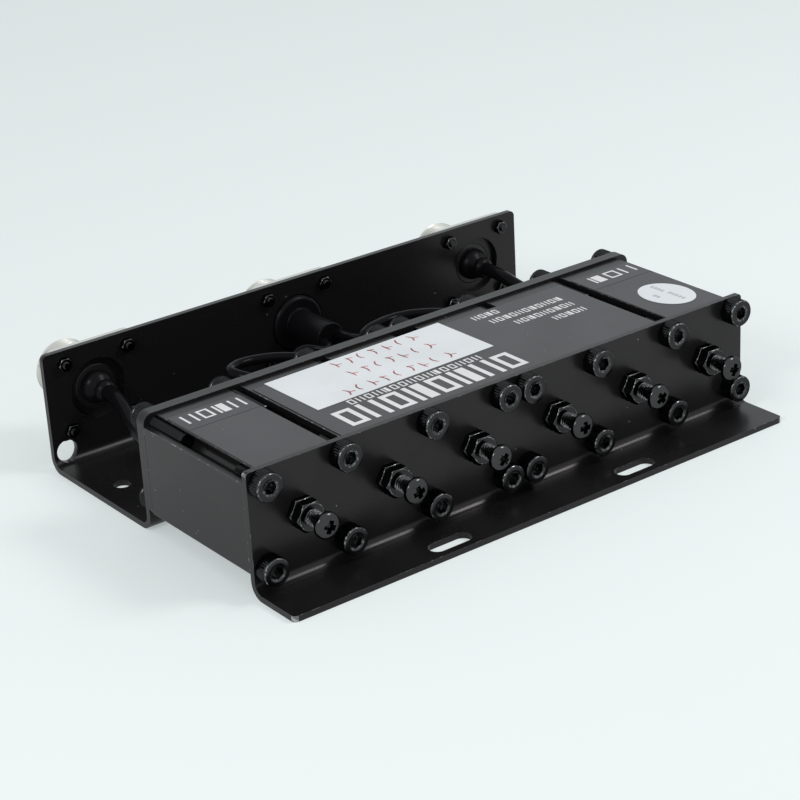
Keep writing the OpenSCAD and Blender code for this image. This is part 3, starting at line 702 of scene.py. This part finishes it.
def cap_screw(length):
    """Knurled socket cap screw, its head's underside at the origin and its shank along +Z."""
    head_r, top = 3.5 * MM, -CAP_HEAD_H
    bevel, foot = 0.35 * MM, 0.2 * MM  # of the head's front edge and of its underside
    socket_r, floor = 3 * MM / math.sqrt(3), top + 2 * MM
    mouth = top + 0.12 * MM  # where the chamfer round the socket ends
    rim = head_r - 0.75 * bevel
    sides = 2 * sizes().knurls
    bm = bmesh.new()
    rub_and_highlight = rub_and_highlight_layer(bm)
    lathe(bm, [
        (0.9 * M4_R, 0), (head_r - 0.25 * MM, 0), (head_r, -foot), (head_r, top + 3 * bevel),
        (head_r, top + 2.6 * bevel), (head_r, top + bevel),
        (head_r - 0.12 * bevel, top + 0.55 * bevel), (head_r - 0.4 * bevel, top + 0.2 * bevel),
        (rim, top + 0.03 * bevel), (head_r - 1.15 * MM, top),
        (socket_r + 0.42 * MM, top + 0.02 * MM), (socket_r + 0.25 * MM, mouth)], sides)
    for vert in bm.verts:
        turn = round(math.atan2(vert.co.y, vert.co.x) / math.tau * sides)
        knurled = top + 3 * bevel - WELD <= vert.co.z <= -foot + WELD
        if turn % 2 and knurled and vert.co.xy.length > rim:
            vert.co.xy *= 1 - sizes().knurl_depth / head_r
    for face in bm.faces:
        middle = face.calc_center_median()
        on_rim = middle.z < top + bevel and middle.xy.length > head_r - 0.3 * MM
        in_socket = middle.z < top + 0.2 * MM and middle.xy.length < socket_r + 0.5 * MM
        face[rub_and_highlight] = 1.0 if on_rim else 0.6 if in_socket else 0.0
    hexagon = bmesh.ops.create_circle(
        bm, segments=6, radius=socket_r, matrix=Matrix.Translation((0, 0, mouth + 0.08 * MM)))
    ring = list({e for v in hexagon["verts"] for e in v.link_edges})
    bmesh.ops.bridge_loops(bm, edges=end_loop(bm, mouth) + ring)
    for part in bmesh.ops.extrude_edge_only(bm, edges=ring)["geom"]:
        if isinstance(part, bmesh.types.BMVert):
            part.co.z = floor
    close_ends(bm, floor)
    root = -0.01 * MM  # the shank starts a little inside the head
    add_shank(bm, M4_R, sizes().case_pitch, root, length, 18, 0.3 * MM)
    close_ends(bm, 0)
    return as_pattern(bm)


class DUPLEXER_OT_case_screws(bpy.types.Operator):
    """Makes the knurled cap screws of the front and the back"""

    bl_idname = "duplexer.case_screws"
    bl_label = "Case screws"

    def execute(self, context):
        for node, facing in (("front_screws", FROM_FRONT), ("rear_screws", FROM_BACK)):
            boxes = solid_boxes(node)
            screw = cap_screw(boxes[0][1].y - boxes[0][0].y - CAP_HEAD_H)
            bm = bmesh.new()
            for index, (low, high) in enumerate(boxes):
                seat = low.y + CAP_HEAD_H if facing is FROM_FRONT else high.y - CAP_HEAD_H
                place = Matrix.Translation(centre(low, high, seat))
                turn = Matrix.Rotation(math.radians(index * 37 % 60), 4, "Z")
                stamp(bm, screw, place @ facing @ turn)
            dress(bm, node, black_steel(), "blackened_steel", outward=False)
        return {"FINISHED"}


class DUPLEXER_OT_lock_nuts(bpy.types.Operator):
    """Rounds the edges of the lock nuts, the bushings and the nuts of the connectors"""

    bl_idname = "duplexer.lock_nuts"
    bl_label = "Nuts and bushings"

    def execute(self, context):
        for node in ("lock_nuts", "tuner_bushings", "connector_nuts"):
            rounded(node, sizes().nut_edge, black_steel(), "blackened_steel",
                    above=math.radians(20))
        return {"FINISHED"}


def cross_cutter(bm, half, arm, taper, top, floor):
    """One pair of arms of a cross recess along X, narrower at its floor than at its top."""
    for vert in block(bm, (-half, -arm, top), (half, arm, floor)):
        if abs(vert.co.z - floor) < WELD:
            vert.co.x *= taper
            vert.co.y *= taper


def pan_head(radius, height, edge):
    """Domed head with a cross recess, its underside at the origin and its crown towards -Z."""
    side, crown = 0.38, 0.16  # straight side and flat crown, as shares of height and radius
    arcs = [math.radians(a) for a in range(9, 90, 9)]
    head = bmesh.new()
    lathe(head, [
        (0, 0), (radius, 0), (radius, -side * height),
        *((radius * (crown + (1 - crown) * math.cos(a)),
           -height * (side + (1 - side) * math.sin(a))) for a in arcs),
        (radius * crown, -height), (0, -height)], 64)
    for turn in (0, 90):
        cutter = bmesh.new()
        cross_cutter(cutter, half=0.62 * radius, arm=0.25 * radius, taper=0.55,
                     top=-1.5 * height, floor=-0.2 * height)
        bmesh.ops.rotate(cutter, verts=cutter.verts,
                         matrix=Matrix.Rotation(math.radians(turn), 3, "Z"))
        head = carve(head, cutter)
    return soften(head, edge, segments=2, above=math.radians(40))


class DUPLEXER_OT_tuning_screws(bpy.types.Operator):
    """Makes the pan heads of the tuning screws, with their cross recesses, and the threads"""

    bl_idname = "duplexer.tuning_screws"
    bl_label = "Tuning screws"

    def execute(self, context):
        for index in range(1, 7):
            node = f"tuning_screw_{index}"
            solid = solid_of(node)
            low, high = corners(solid.verts)
            # Behind the recess, which ends before this depth, the head's underside comes first
            under = min(v.co.y for v in solid.verts if v.co.y > low.y + 1.2 * MM)
            solid.free()
            bm = pan_head((high.x - low.x) / 2, under - low.y, 0.09 * MM)
            turn = Matrix.Rotation(math.radians(index * 53 % 90 - 30), 4, "Z")
            bmesh.ops.transform(bm, matrix=turn, verts=bm.verts)
            add_shank(bm, M4_R, sizes().case_pitch, 0, high.y - under, 24, 0.3 * MM)
            bm.normal_update()
            rub_and_highlight = rub_and_highlight_layer(bm)
            for face in bm.faces:  # painted highlight: the flanks that face the head get the rubbed colour
                if face.normal.z < -0.3 and face.calc_center_median().z > 0.02 * MM:
                    face[rub_and_highlight] = 1
            place = Matrix.Translation(centre(low, high, under))
            bmesh.ops.transform(bm, matrix=place @ FROM_FRONT, verts=bm.verts)
            dress(bm, node, polished_steel(), "blackened_steel", body=f"screw_{index}")
        return {"FINISHED"}


class DUPLEXER_OT_tuning_slugs(bpy.types.Operator):
    """Rounds the edges of the brass tuning slugs"""

    bl_idname = "duplexer.tuning_slugs"
    bl_label = "Tuning slugs"

    def execute(self, context):
        for index in range(1, 7):
            rounded(f"tuning_slug_{index}", 0.2 * MM, brass(), "brass", segments=3,
                    body=f"slug_{index}")
        return {"FINISHED"}


def wire(node, points, radius, material, slot):
    """The round cable or wire of a node, along a smooth line through its points."""
    line = bpy.data.curves.new(node, "CURVE")
    line.dimensions = "3D"
    line.resolution_u = 8
    line.bevel_depth = radius
    line.bevel_resolution = 6
    line.use_fill_caps = True
    spline = line.splines.new("BEZIER")
    spline.bezier_points.add(len(points) - 1)
    for knot, point in zip(spline.bezier_points, points):
        knot.co = point
        knot.handle_left_type = knot.handle_right_type = "AUTO"
    obj = linked(node, line)
    bpy.context.view_layer.update()
    graph = bpy.context.evaluated_depsgraph_get()
    mesh = bpy.data.meshes.new_from_object(obj.evaluated_get(graph))
    bpy.data.objects.remove(obj)
    bm = bmesh.new()
    bm.from_mesh(mesh)
    merged(bm, 1e-6)
    dress(bm, node, material, slot)


class DUPLEXER_OT_resonators(bpy.types.Operator):
    """Winds the resonator coils of silvered wire"""

    bl_idname = "duplexer.resonators"
    bl_label = "Resonator coils"

    def execute(self, context):
        wire_r, turns, steps = 0.9 * MM, 4, 16
        bend, leg = 1.8 * MM, 7 * MM  # of the straight end that goes into the rear plate
        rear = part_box("rear_plate")[0].y
        for index in range(1, 7):
            node = f"resonator_{index}"
            low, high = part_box(node)
            x, _, z = centre(*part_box(f"tuning_screw_{index}"), 0)
            radius = high.z - z - wire_r
            first, last = low.y + wire_r, rear - leg
            points = []
            for step in range(turns * steps + 1):
                angle = math.radians(-90) - math.tau * (turns - step / steps)
                y = first + (last - first) * step / (turns * steps)
                points.append((x + radius * math.cos(angle), y, z + radius * math.sin(angle)))
            for angle in (math.radians(45), math.radians(90)):
                points.append((x + bend * math.sin(angle), last + bend * (1 - math.cos(angle)),
                               z - radius))
            points += [(x + bend, y, z - radius) for y in (rear - 1 * MM, rear)]
            wire(node, points, wire_r, silvered(), "silvered_wire")
        return {"FINISHED"}


# Cable routes: X in cavity pitches, Y in millimetres back from the rear bracket's upright, Z in
# millimetres as in the frame
JUMPER_1 = [
    (-2.271, -5, 14), (-2.271, 1, 14), (-2.271, 7, 14), (-2.199, 11.2, 14), (-2.032, 13, 14),
    (-1.865, 11.2, 14), (-1.793, 7, 14), (-1.793, 1, 14), (-1.793, -5, 14)]
FEEDS = {
    "high_feed_cable": [
        (-2.462, 39.55, 19.1), (-2.462, 36.5, 19.1), (-2.482, 33, 18.4), (-2.518, 28.5, 17.2),
        (-2.57, 23.5, 15.9), (-2.618, 18, 15.1), (-2.653, 11, 14.6), (-2.669, 4, 14.5),
        (-2.669, -5, 14.5)],
    "low_feed_cable": [
        (2.462, 39.55, 19.1), (2.462, 35.5, 19.1), (2.462, 31.5, 18.7), (2.478, 27.5, 17.7),
        (2.514, 22, 16.3), (2.574, 15.5, 15.1), (2.625, 9, 14.6), (2.649, 3, 14.5),
        (2.649, -5, 14.5)],
}
THIN = {
    "left_antenna_cable": [
        (-0.096, 29.1, 18.4), (-0.096, 28.5, 18.4), (-0.116, 26.5, 18.2), (-0.183, 25.2, 18.1),
        (-0.295, 25.6, 18.9), (-0.414, 26.6, 19.6), (-0.534, 26, 19), (-0.622, 23, 17.8),
        (-0.637, 18.6, 16.8), (-0.582, 13.8, 16), (-0.502, 9, 15.3), (-0.446, 4.6, 15),
        (-0.43, 1.5, 15), (-0.43, -5, 15)],
    "right_antenna_cable": [
        (0.092, 29.1, 19.9), (0.092, 28.5, 19.9), (0.092, 24.5, 20.2), (0.1, 20, 20.8),
        (0.143, 16.6, 20.8), (0.231, 14.2, 19.8), (0.359, 12.4, 18), (0.51, 10.8, 16.3),
        (0.661, 8.4, 15.3), (0.761, 5, 15), (0.789, 1.5, 15), (0.789, -5, 15)],
    "jumper_cable_1": JUMPER_1,
    "jumper_cable_2": [
        (-1.514, -5, 23.5), (-1.514, 1, 23.5), (-1.522, 4, 24.6), (-1.566, 6.9, 26.2),
        (-1.645, 9.6, 27), (-1.665, 12.6, 27.3), (-1.562, 14.8, 27.2), (-1.434, 15.5, 27),
        (-1.299, 15.2, 26.8), (-1.143, 13.9, 26.6), (-1.008, 11.7, 26.4), (-0.888, 8.6, 26),
        (-0.789, 5.2, 24.9), (-0.737, 2, 24.1), (-0.737, -5, 24)],
    "jumper_cable_3": [
        (0.219, -5, 20.5), (0.219, 1.4, 20.5), (0.167, 4.6, 20.5), (0.04, 7, 20.7),
        (-0.08, 8.6, 21.6), (-0.155, 9.3, 23.8), (-0.135, 9.6, 26), (-0.048, 10.8, 26.8),
        (0.104, 11.8, 27.1), (0.303, 12.6, 27), (0.49, 11.9, 27), (0.653, 10.4, 26.8),
        (0.805, 8.9, 26.3), (0.964, 7.8, 25.2), (1.116, 6.5, 23.9), (1.243, 4.4, 22.6),
        (1.295, 1.4, 22), (1.295, -5, 22)],
    "jumper_cable_4": [(-x, y, z) for x, y, z in JUMPER_1],
}


# A boot's outline in shares of its radius and length: a ball, a neck and a ring
BOOT = [
    (0, 0), (1, 0), (1, -0.1), (0.97, -0.2), (0.89, -0.31), (0.76, -0.41), (0.6, -0.48),
    (0.53, -0.53), (0.54, -0.58), (0.61, -0.63), (0.655, -0.69), (0.66, -0.78), (0.63, -0.87),
    (0.56, -0.94), (0.46, -0.99), (0, -1)]


class DUPLEXER_OT_cables(bpy.types.Operator):
    """Makes the cables, the boots at the outer sockets and the tee of the middle one"""

    bl_idname = "duplexer.cables"
    bl_label = "Cables"

    def execute(self, context):
        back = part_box("rear_bracket")[0].y + SHEET
        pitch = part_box("tuning_screw_2")[0].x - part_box("tuning_screw_1")[0].x
        for routes, radius in ((FEEDS, 1.85 * MM), (THIN, 1.3 * MM)):
            for node, route in routes.items():
                points = [(x * pitch, back + y * MM, z * MM) for x, y, z in route]
                wire(node, points, radius, jacket(), "cable_jacket")
        for node in ("high_feed_boot", "low_feed_boot"):
            low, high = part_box(node)
            bm = bmesh.new()
            lathe(bm, [(r * (high.x - low.x) / 2, z * (high.y - low.y)) for r, z in BOOT], 48)
            place = Matrix.Translation(centre(low, high, high.y))
            bmesh.ops.transform(bm, matrix=place @ FROM_FRONT, verts=bm.verts)
            dress(bm, node, boot_rubber(), "cable_jacket")
        rounded("antenna_tee", 0.35 * MM, boot_rubber(), "cable_jacket", segments=3,
                above=math.radians(40))
        return {"FINISHED"}


class DUPLEXER_OT_ports(bpy.types.Operator):
    """Cuts the threads of the coaxial sockets and finishes their insulators and contacts"""

    bl_idname = "duplexer.ports"
    bl_label = "Coaxial sockets"

    def execute(self, context):
        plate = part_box("rear_bracket")[1].y
        flange = plate + 1.7 * MM  # the flanges' outer face
        barrel_r, bore_r = 7.95 * MM, 5.8 * MM
        for port in ("high", "antenna", "low"):
            node = f"{port}_port_shell"
            bm = solid_of(node)
            low, high = corners(bm.verts)
            keep_side(bm, (0, flange + 0.05 * MM, 0), (0, 1, 0))
            bmesh.ops.bridge_loops(bm, edges=[e for e in bm.edges if e.is_boundary])
            soften(bm, 0.2 * MM, segments=3)
            top = high.y - flange
            tube = thread(barrel_r, sizes().barrel_pitch, 0, top, 48, chamfer=0.4 * MM)
            lathe(tube, [(bore_r, 0), (bore_r, top - 0.2 * MM), (bore_r + 0.15 * MM, top)], 48)
            for height in (0, top):
                bmesh.ops.triangle_fill(tube, edges=end_loop(tube, height), use_beauty=True,
                                        normal=(0, 0, 1 if height else -1))
            place = Matrix.Translation(centre(low, high, flange))
            stamp(bm, as_pattern(tube), place @ FROM_FRONT)
            shell = dress(bm, node, nickel(), "nickel_plate")
            shell.data.materials.append(anodised())
            for face in shell.data.polygons:  # painted shade: the back, where it shows in the plate's hole, gets the black anodising
                if face.center.y < plate + 0.1 * MM:
                    face.material_index = 1
            for part, finish, slot, radius in (("insulator", insulator, "black_plastic", 0.25),
                                               ("contact", brass, "brass", 0.15)):
                rounded(f"{port}_port_{part}", radius * MM, finish(), slot, segments=3)
        return {"FINISHED"}


class DUPLEXER_OT_connector_screws(bpy.types.Operator):
    """Makes the cross-recessed screws that hold the sockets"""

    bl_idname = "duplexer.connector_screws"
    bl_label = "Connector screws"

    def execute(self, context):
        head_h, shank_r = 1.5 * MM, 1 * MM
        boxes = solid_boxes("connector_screws")
        low, high = boxes[0]
        head = pan_head((high.x - low.x) / 2, head_h, 0.05 * MM)
        add_shank(head, shank_r, sizes().fine_pitch, 0, high.y - low.y - head_h, 14, 0.15 * MM)
        screw = as_pattern(head)
        bm = bmesh.new()
        for index, (low, high) in enumerate(boxes):
            place = Matrix.Translation(centre(low, high, high.y - head_h))
            turn = Matrix.Rotation(math.radians(index * 41 % 90), 4, "Z")
            stamp(bm, screw, place @ FROM_BACK @ turn)
        dress(bm, "connector_screws", black_steel(), "blackened_steel", outward=False)
        return {"FINISHED"}


def raised_bar(bm, low, high, top, height):
    """A flat bar between two corners in X and Y, standing a little on the face at top."""
    block(bm, (*low, top - SUNK), (*high, top + height))


def mark(bm, kind, corner, size, line, top):
    """One plain printed mark: a frame, two uprights, or an upright beside a filled field."""
    (x, y), (width, length), height = corner, size, sizes().print_height
    upright = [((x, y), (x + line, y + length)),
               ((x + width - line, y), (x + width, y + length))]
    across = [((x + line, y + at), (x + width - line, y + at + line))
              for at in (0, length - line)]
    field = [((x + 1.8 * line, y), (x + width, y + length))]
    for low, high in (upright + across, upright, upright[:1] + field)[kind]:
        raised_bar(bm, low, high, top, height)


# Rows of marks on the panels, in millimetres: X, Y from the panels' front edge, how many, width
# and length of a mark, step, width of its lines, and the kinds of mark in turn
ROWS = [
    (-43.6, 2.6, 8, 5.2, 9.2, 6.8, 1.35, (0, 1, 0, 2, 0, 2, 1, 0)),
    (-36.7, 12.6, 16, 1.7, 2.6, 2.52, 0.4, (0, 1, 0, 1, 2, 0)),
    *((x, 18.6 + 4.7 * line, count, 1.5, 2.5, 2.15, 0.38, (1, 0, 2, 0))
      for line, (x, count) in enumerate(((32.2, 5), (23.6, 9), (19.3, 11), (17.2, 4)))),
    (-70.4, 30.2, 4, 3.1, 4.9, 4.4, 0.6, (1, 0, 2, 1)),
    (56.4, 30.4, 3, 3.8, 4.4, 5.3, 0.6, (2, 0, 1))]
SEAM_SHADE = (27 * MM, 27.22 * MM)  # Y of the seam in the end films, from the panels' front edge; a dark line of painted shade lies there


class DUPLEXER_OT_panels(bpy.types.Operator):
    """Finishes the film panels and prints rows of plain marks on them"""

    bl_idname = "duplexer.panels"
    bl_label = "Panels and print"

    def execute(self, context):
        for node in ("left_port_panel", "name_panel", "right_port_panel"):
            rounded(node, 0.05 * MM, film(), "panel_film", segments=1)
        low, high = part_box("name_panel")
        front, top = low.y, high.z
        bm = bmesh.new()
        for x, y, count, width, length, step, line, kinds in ROWS:
            for index in range(count):
                mark(bm, kinds[index % len(kinds)],
                     ((x + step * index) * MM, front + y * MM), (width * MM, length * MM),
                     line * MM, top)
        piece(bm, "panel_print", ink(), "panel_film")
        # A thin dark bar along the seam of each end film: painted shade at the edge of the strip
        # stuck over it
        bm = bmesh.new()
        for node in ("left_port_panel", "right_port_panel"):
            low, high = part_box(node)
            raised_bar(bm, (low.x, front + SEAM_SHADE[0]), (high.x, front + SEAM_SHADE[1]), high.z, THIN_INK)
        piece(bm, "film_seam_shade", seam_shade(), "panel_film")
        return {"FINISHED"}


def ribbon(bm, points, width, top):
    """A flat stroke through points in X and Y, on the face at top."""
    for start, stop in zip(points, points[1:]):
        start, stop = Vector((*start, 0)), Vector((*stop, 0))
        step = stop - start
        turn = Matrix.Rotation(math.atan2(step.y, step.x), 4, "Z")
        verts = block(bm, (-width / 2, -width / 2, -SUNK),
                      (step.length + width / 2, width / 2, THIN_INK))
        bmesh.ops.transform(bm, matrix=Matrix.Translation((start.x, start.y, top)) @ turn,
                            verts=verts)


# Rows of strokes on the paper label: how many, and Y in millimetres from the label's middle
STROKES = ((7, 6), (7, -1), (9, -9))
# Rows of marks on the oval sticker along Y: X and the first Y in millimetres, and how many
STICKER_ROWS = ((0.9, -5.2, 5), (0.5, 2.2, 4), (-3.3, -0.3, 2))


class DUPLEXER_OT_labels(bpy.types.Operator):
    """Finishes the paper label with its faint pen strokes, and the oval sticker"""

    bl_idname = "duplexer.labels"
    bl_label = "Labels"

    def execute(self, context):
        for node in ("paper_label", "oval_sticker"):
            rounded(node, 0.04 * MM, paper(), "label_paper", segments=1)
        low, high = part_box("paper_label")
        middle, top = (low + high) / 2, high.z
        bm = bmesh.new()
        for line, (count, up) in enumerate(STROKES):
            for index in range(count):  # from right to left, in millimetres
                x = 15.2 - 3.9 * index
                y = up + 0.02 * x + 0.35 * math.sin(2.1 * index)
                lean, bow = 0.5 * math.sin(1.7 * index + line), 1.3 * math.cos(2.3 * index)
                points = [(middle.x + (x + lean * t + bow * t * (1 - t) * 2) * MM,
                           middle.y + (y + 3.2 * t) * MM) for t in (0, 0.25, 0.5, 0.75, 1)]
                ribbon(bm, points, sizes().pen_width, top)
                if index % 3 != 1:  # with a short side stroke
                    end = points[-1] if index % 2 else points[2]
                    ribbon(bm, [end, (end[0] + 1.4 * MM, end[1] - 0.4 * MM)],
                           sizes().pen_width, top)
        piece(bm, "pen_strokes", pen(), "label_paper")
        low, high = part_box("oval_sticker")
        middle, top = (low + high) / 2, high.z
        bm = bmesh.new()
        for x, start, count in STICKER_ROWS:
            for index in range(count):
                for side in (-0.26, 0.26):
                    place = middle + Vector((x, start + 1.25 * index + side, 0)) * MM
                    raised_bar(bm, (place.x - 0.6 * MM, place.y - 0.1 * MM),
                               (place.x + 0.6 * MM, place.y + 0.1 * MM), top, THIN_INK)
        piece(bm, "sticker_marks", sticker_marks(), "label_paper")
        return {"FINISHED"}


class DUPLEXER_OT_stage(bpy.types.Operator):
    """Sets the camera, the lamps, the world and the floor"""

    bl_idname = "duplexer.stage"
    bl_label = "Stage"

    def execute(self, context):
        scene = context.scene
        stage = scene.duplexer_stage
        scene.view_settings.view_transform = "Standard"
        self.camera(scene, stage)
        self.lamp("Key lamp", (0.45, -0.4, 0.6), 0.26, stage.key)
        self.lamp("Side lamp", (-0.6, -0.2, 0.45), 0.22, stage.fill)
        self.world(scene, stage)
        self.floor(stage)
        return {"FINISHED"}

    def camera(self, scene, stage):
        data = bpy.data.cameras.new("Camera")
        data.lens = stage.lens
        data.sensor_width = 36
        data.shift_x, data.shift_y = stage.shift
        data.clip_start, data.clip_end = 0.01, 20
        camera = linked("Camera", data)
        aim = Vector(stage.look).to_track_quat("-Z", "Y").to_matrix().to_4x4()
        lean = Matrix.Rotation(stage.roll, 4, "Z")
        camera.matrix_world = Matrix.Translation(stage.camera_place) @ aim @ lean
        scene.camera = camera

    def lamp(self, name, place, size, power):
        data = bpy.data.lights.new(name, "AREA")
        data.size = size
        data.energy = power
        lamp = linked(name, data)
        target = (CAD_LOW + CAD_HIGH) / 2
        lamp.location = place
        lamp.rotation_euler = (target - Vector(place)).to_track_quat("-Z", "Y").to_euler()

    def seen_directly(self, tree, place):
        """One for rays from the camera, from gloss and through glass, otherwise zero."""
        x, y = place
        path = add_node(tree, "ShaderNodeLightPath", place).outputs
        first = calc(tree, (x + 200, y), "MAXIMUM", path["Is Camera Ray"], path["Is Glossy Ray"])
        return calc(tree, (x + 400, y), "MAXIMUM", first, path["Is Transmission Ray"])

    def world(self, scene, stage):
        world = bpy.data.worlds.new("Pale room")
        world.use_nodes = True
        scene.world = world
        tree = world.node_tree
        light = tree.nodes["Background"]
        feed(light.inputs["Color"], (1, 1, 1, 1))
        feed(light.inputs["Strength"], stage.sky)
        seen = add_node(tree, "ShaderNodeBackground", (0, -200), {
            "Color": (*stage.wall_tone, 1), "Strength": 1.0})
        mix = add_node(tree, "ShaderNodeMixShader", (250, 0), {
            0: self.seen_directly(tree, (-600, 200)), 1: light.outputs[0], 2: seen.outputs[0]})
        feed(tree.nodes["World Output"].inputs["Surface"], mix.outputs[0])

    def floor(self, stage):
        bm = bmesh.new()
        bmesh.ops.create_grid(bm, x_segments=1, y_segments=1, size=6)
        mesh = mesh_of(bm, "Floor")
        mesh.transform(Matrix.Translation((0, 0, CAD_LOW.z - 0.02 * MM)))
        material = bpy.data.materials.new("Pale floor")
        material.use_nodes = True
        tree = material.node_tree
        shader = tree.nodes["Principled BSDF"]
        for label, value in (("Base Color", (*stage.floor_tone, 1)), ("Roughness", 0.8),
                             ("Specular IOR Level", 0.1)):
            feed(shader.inputs[label], value)
        seen = add_node(tree, "ShaderNodeEmission", (0, -300), {
            "Color": (*stage.wall_tone, 1), "Strength": 1.0})
        share = calc(tree, (0, 250), "MULTIPLY", self.seen_directly(tree, (-700, 250)),
                     stage.floor_lift)
        mix = add_node(tree, "ShaderNodeMixShader", (250, 0), {
            0: share, 1: shader.outputs[0], 2: seen.outputs[0]})
        feed(tree.nodes["Material Output"].inputs["Surface"], mix.outputs[0])
        mesh.materials.append(material)
        linked("Floor", mesh)


STEPS = (DUPLEXER_OT_sheet, DUPLEXER_OT_case_screws, DUPLEXER_OT_lock_nuts,
         DUPLEXER_OT_tuning_screws, DUPLEXER_OT_tuning_slugs, DUPLEXER_OT_resonators,
         DUPLEXER_OT_cables, DUPLEXER_OT_ports, DUPLEXER_OT_connector_screws,
         DUPLEXER_OT_panels, DUPLEXER_OT_labels, DUPLEXER_OT_stage)


class DUPLEXER_PT_steps(bpy.types.Panel):
    """Lists the steps that dress the duplexer"""

    bl_label = "Duplexer"
    bl_idname = "DUPLEXER_PT_steps"
    bl_space_type = "VIEW_3D"
    bl_region_type = "UI"
    bl_category = "Duplexer"

    def draw(self, context):
        for step in STEPS:
            self.layout.operator(step.bl_idname)
        for settings in (context.scene.duplexer_finishes, context.scene.duplexer_sizes,
                         context.scene.duplexer_stage):
            box = self.layout.box()
            for name in settings.__annotations__:
                box.prop(settings, name)


GROUPS = {"duplexer_finishes": DuplexerFinishes, "duplexer_sizes": DuplexerSizes,
          "duplexer_stage": DuplexerStage}


def register():
    for cls in (*GROUPS.values(), *STEPS, DUPLEXER_PT_steps):
        bpy.utils.register_class(cls)
    for name, group in GROUPS.items():
        setattr(bpy.types.Scene, name, bpy.props.PointerProperty(type=group))


def unregister():
    for name in GROUPS:
        delattr(bpy.types.Scene, name)
    for cls in reversed((*GROUPS.values(), *STEPS, DUPLEXER_PT_steps)):
        bpy.utils.unregister_class(cls)


def main():
    register()
    for step in STEPS:
        family, name = step.bl_idname.split(".")
        getattr(getattr(bpy.ops, family), name)()


if __name__ == "__main__":
    main()
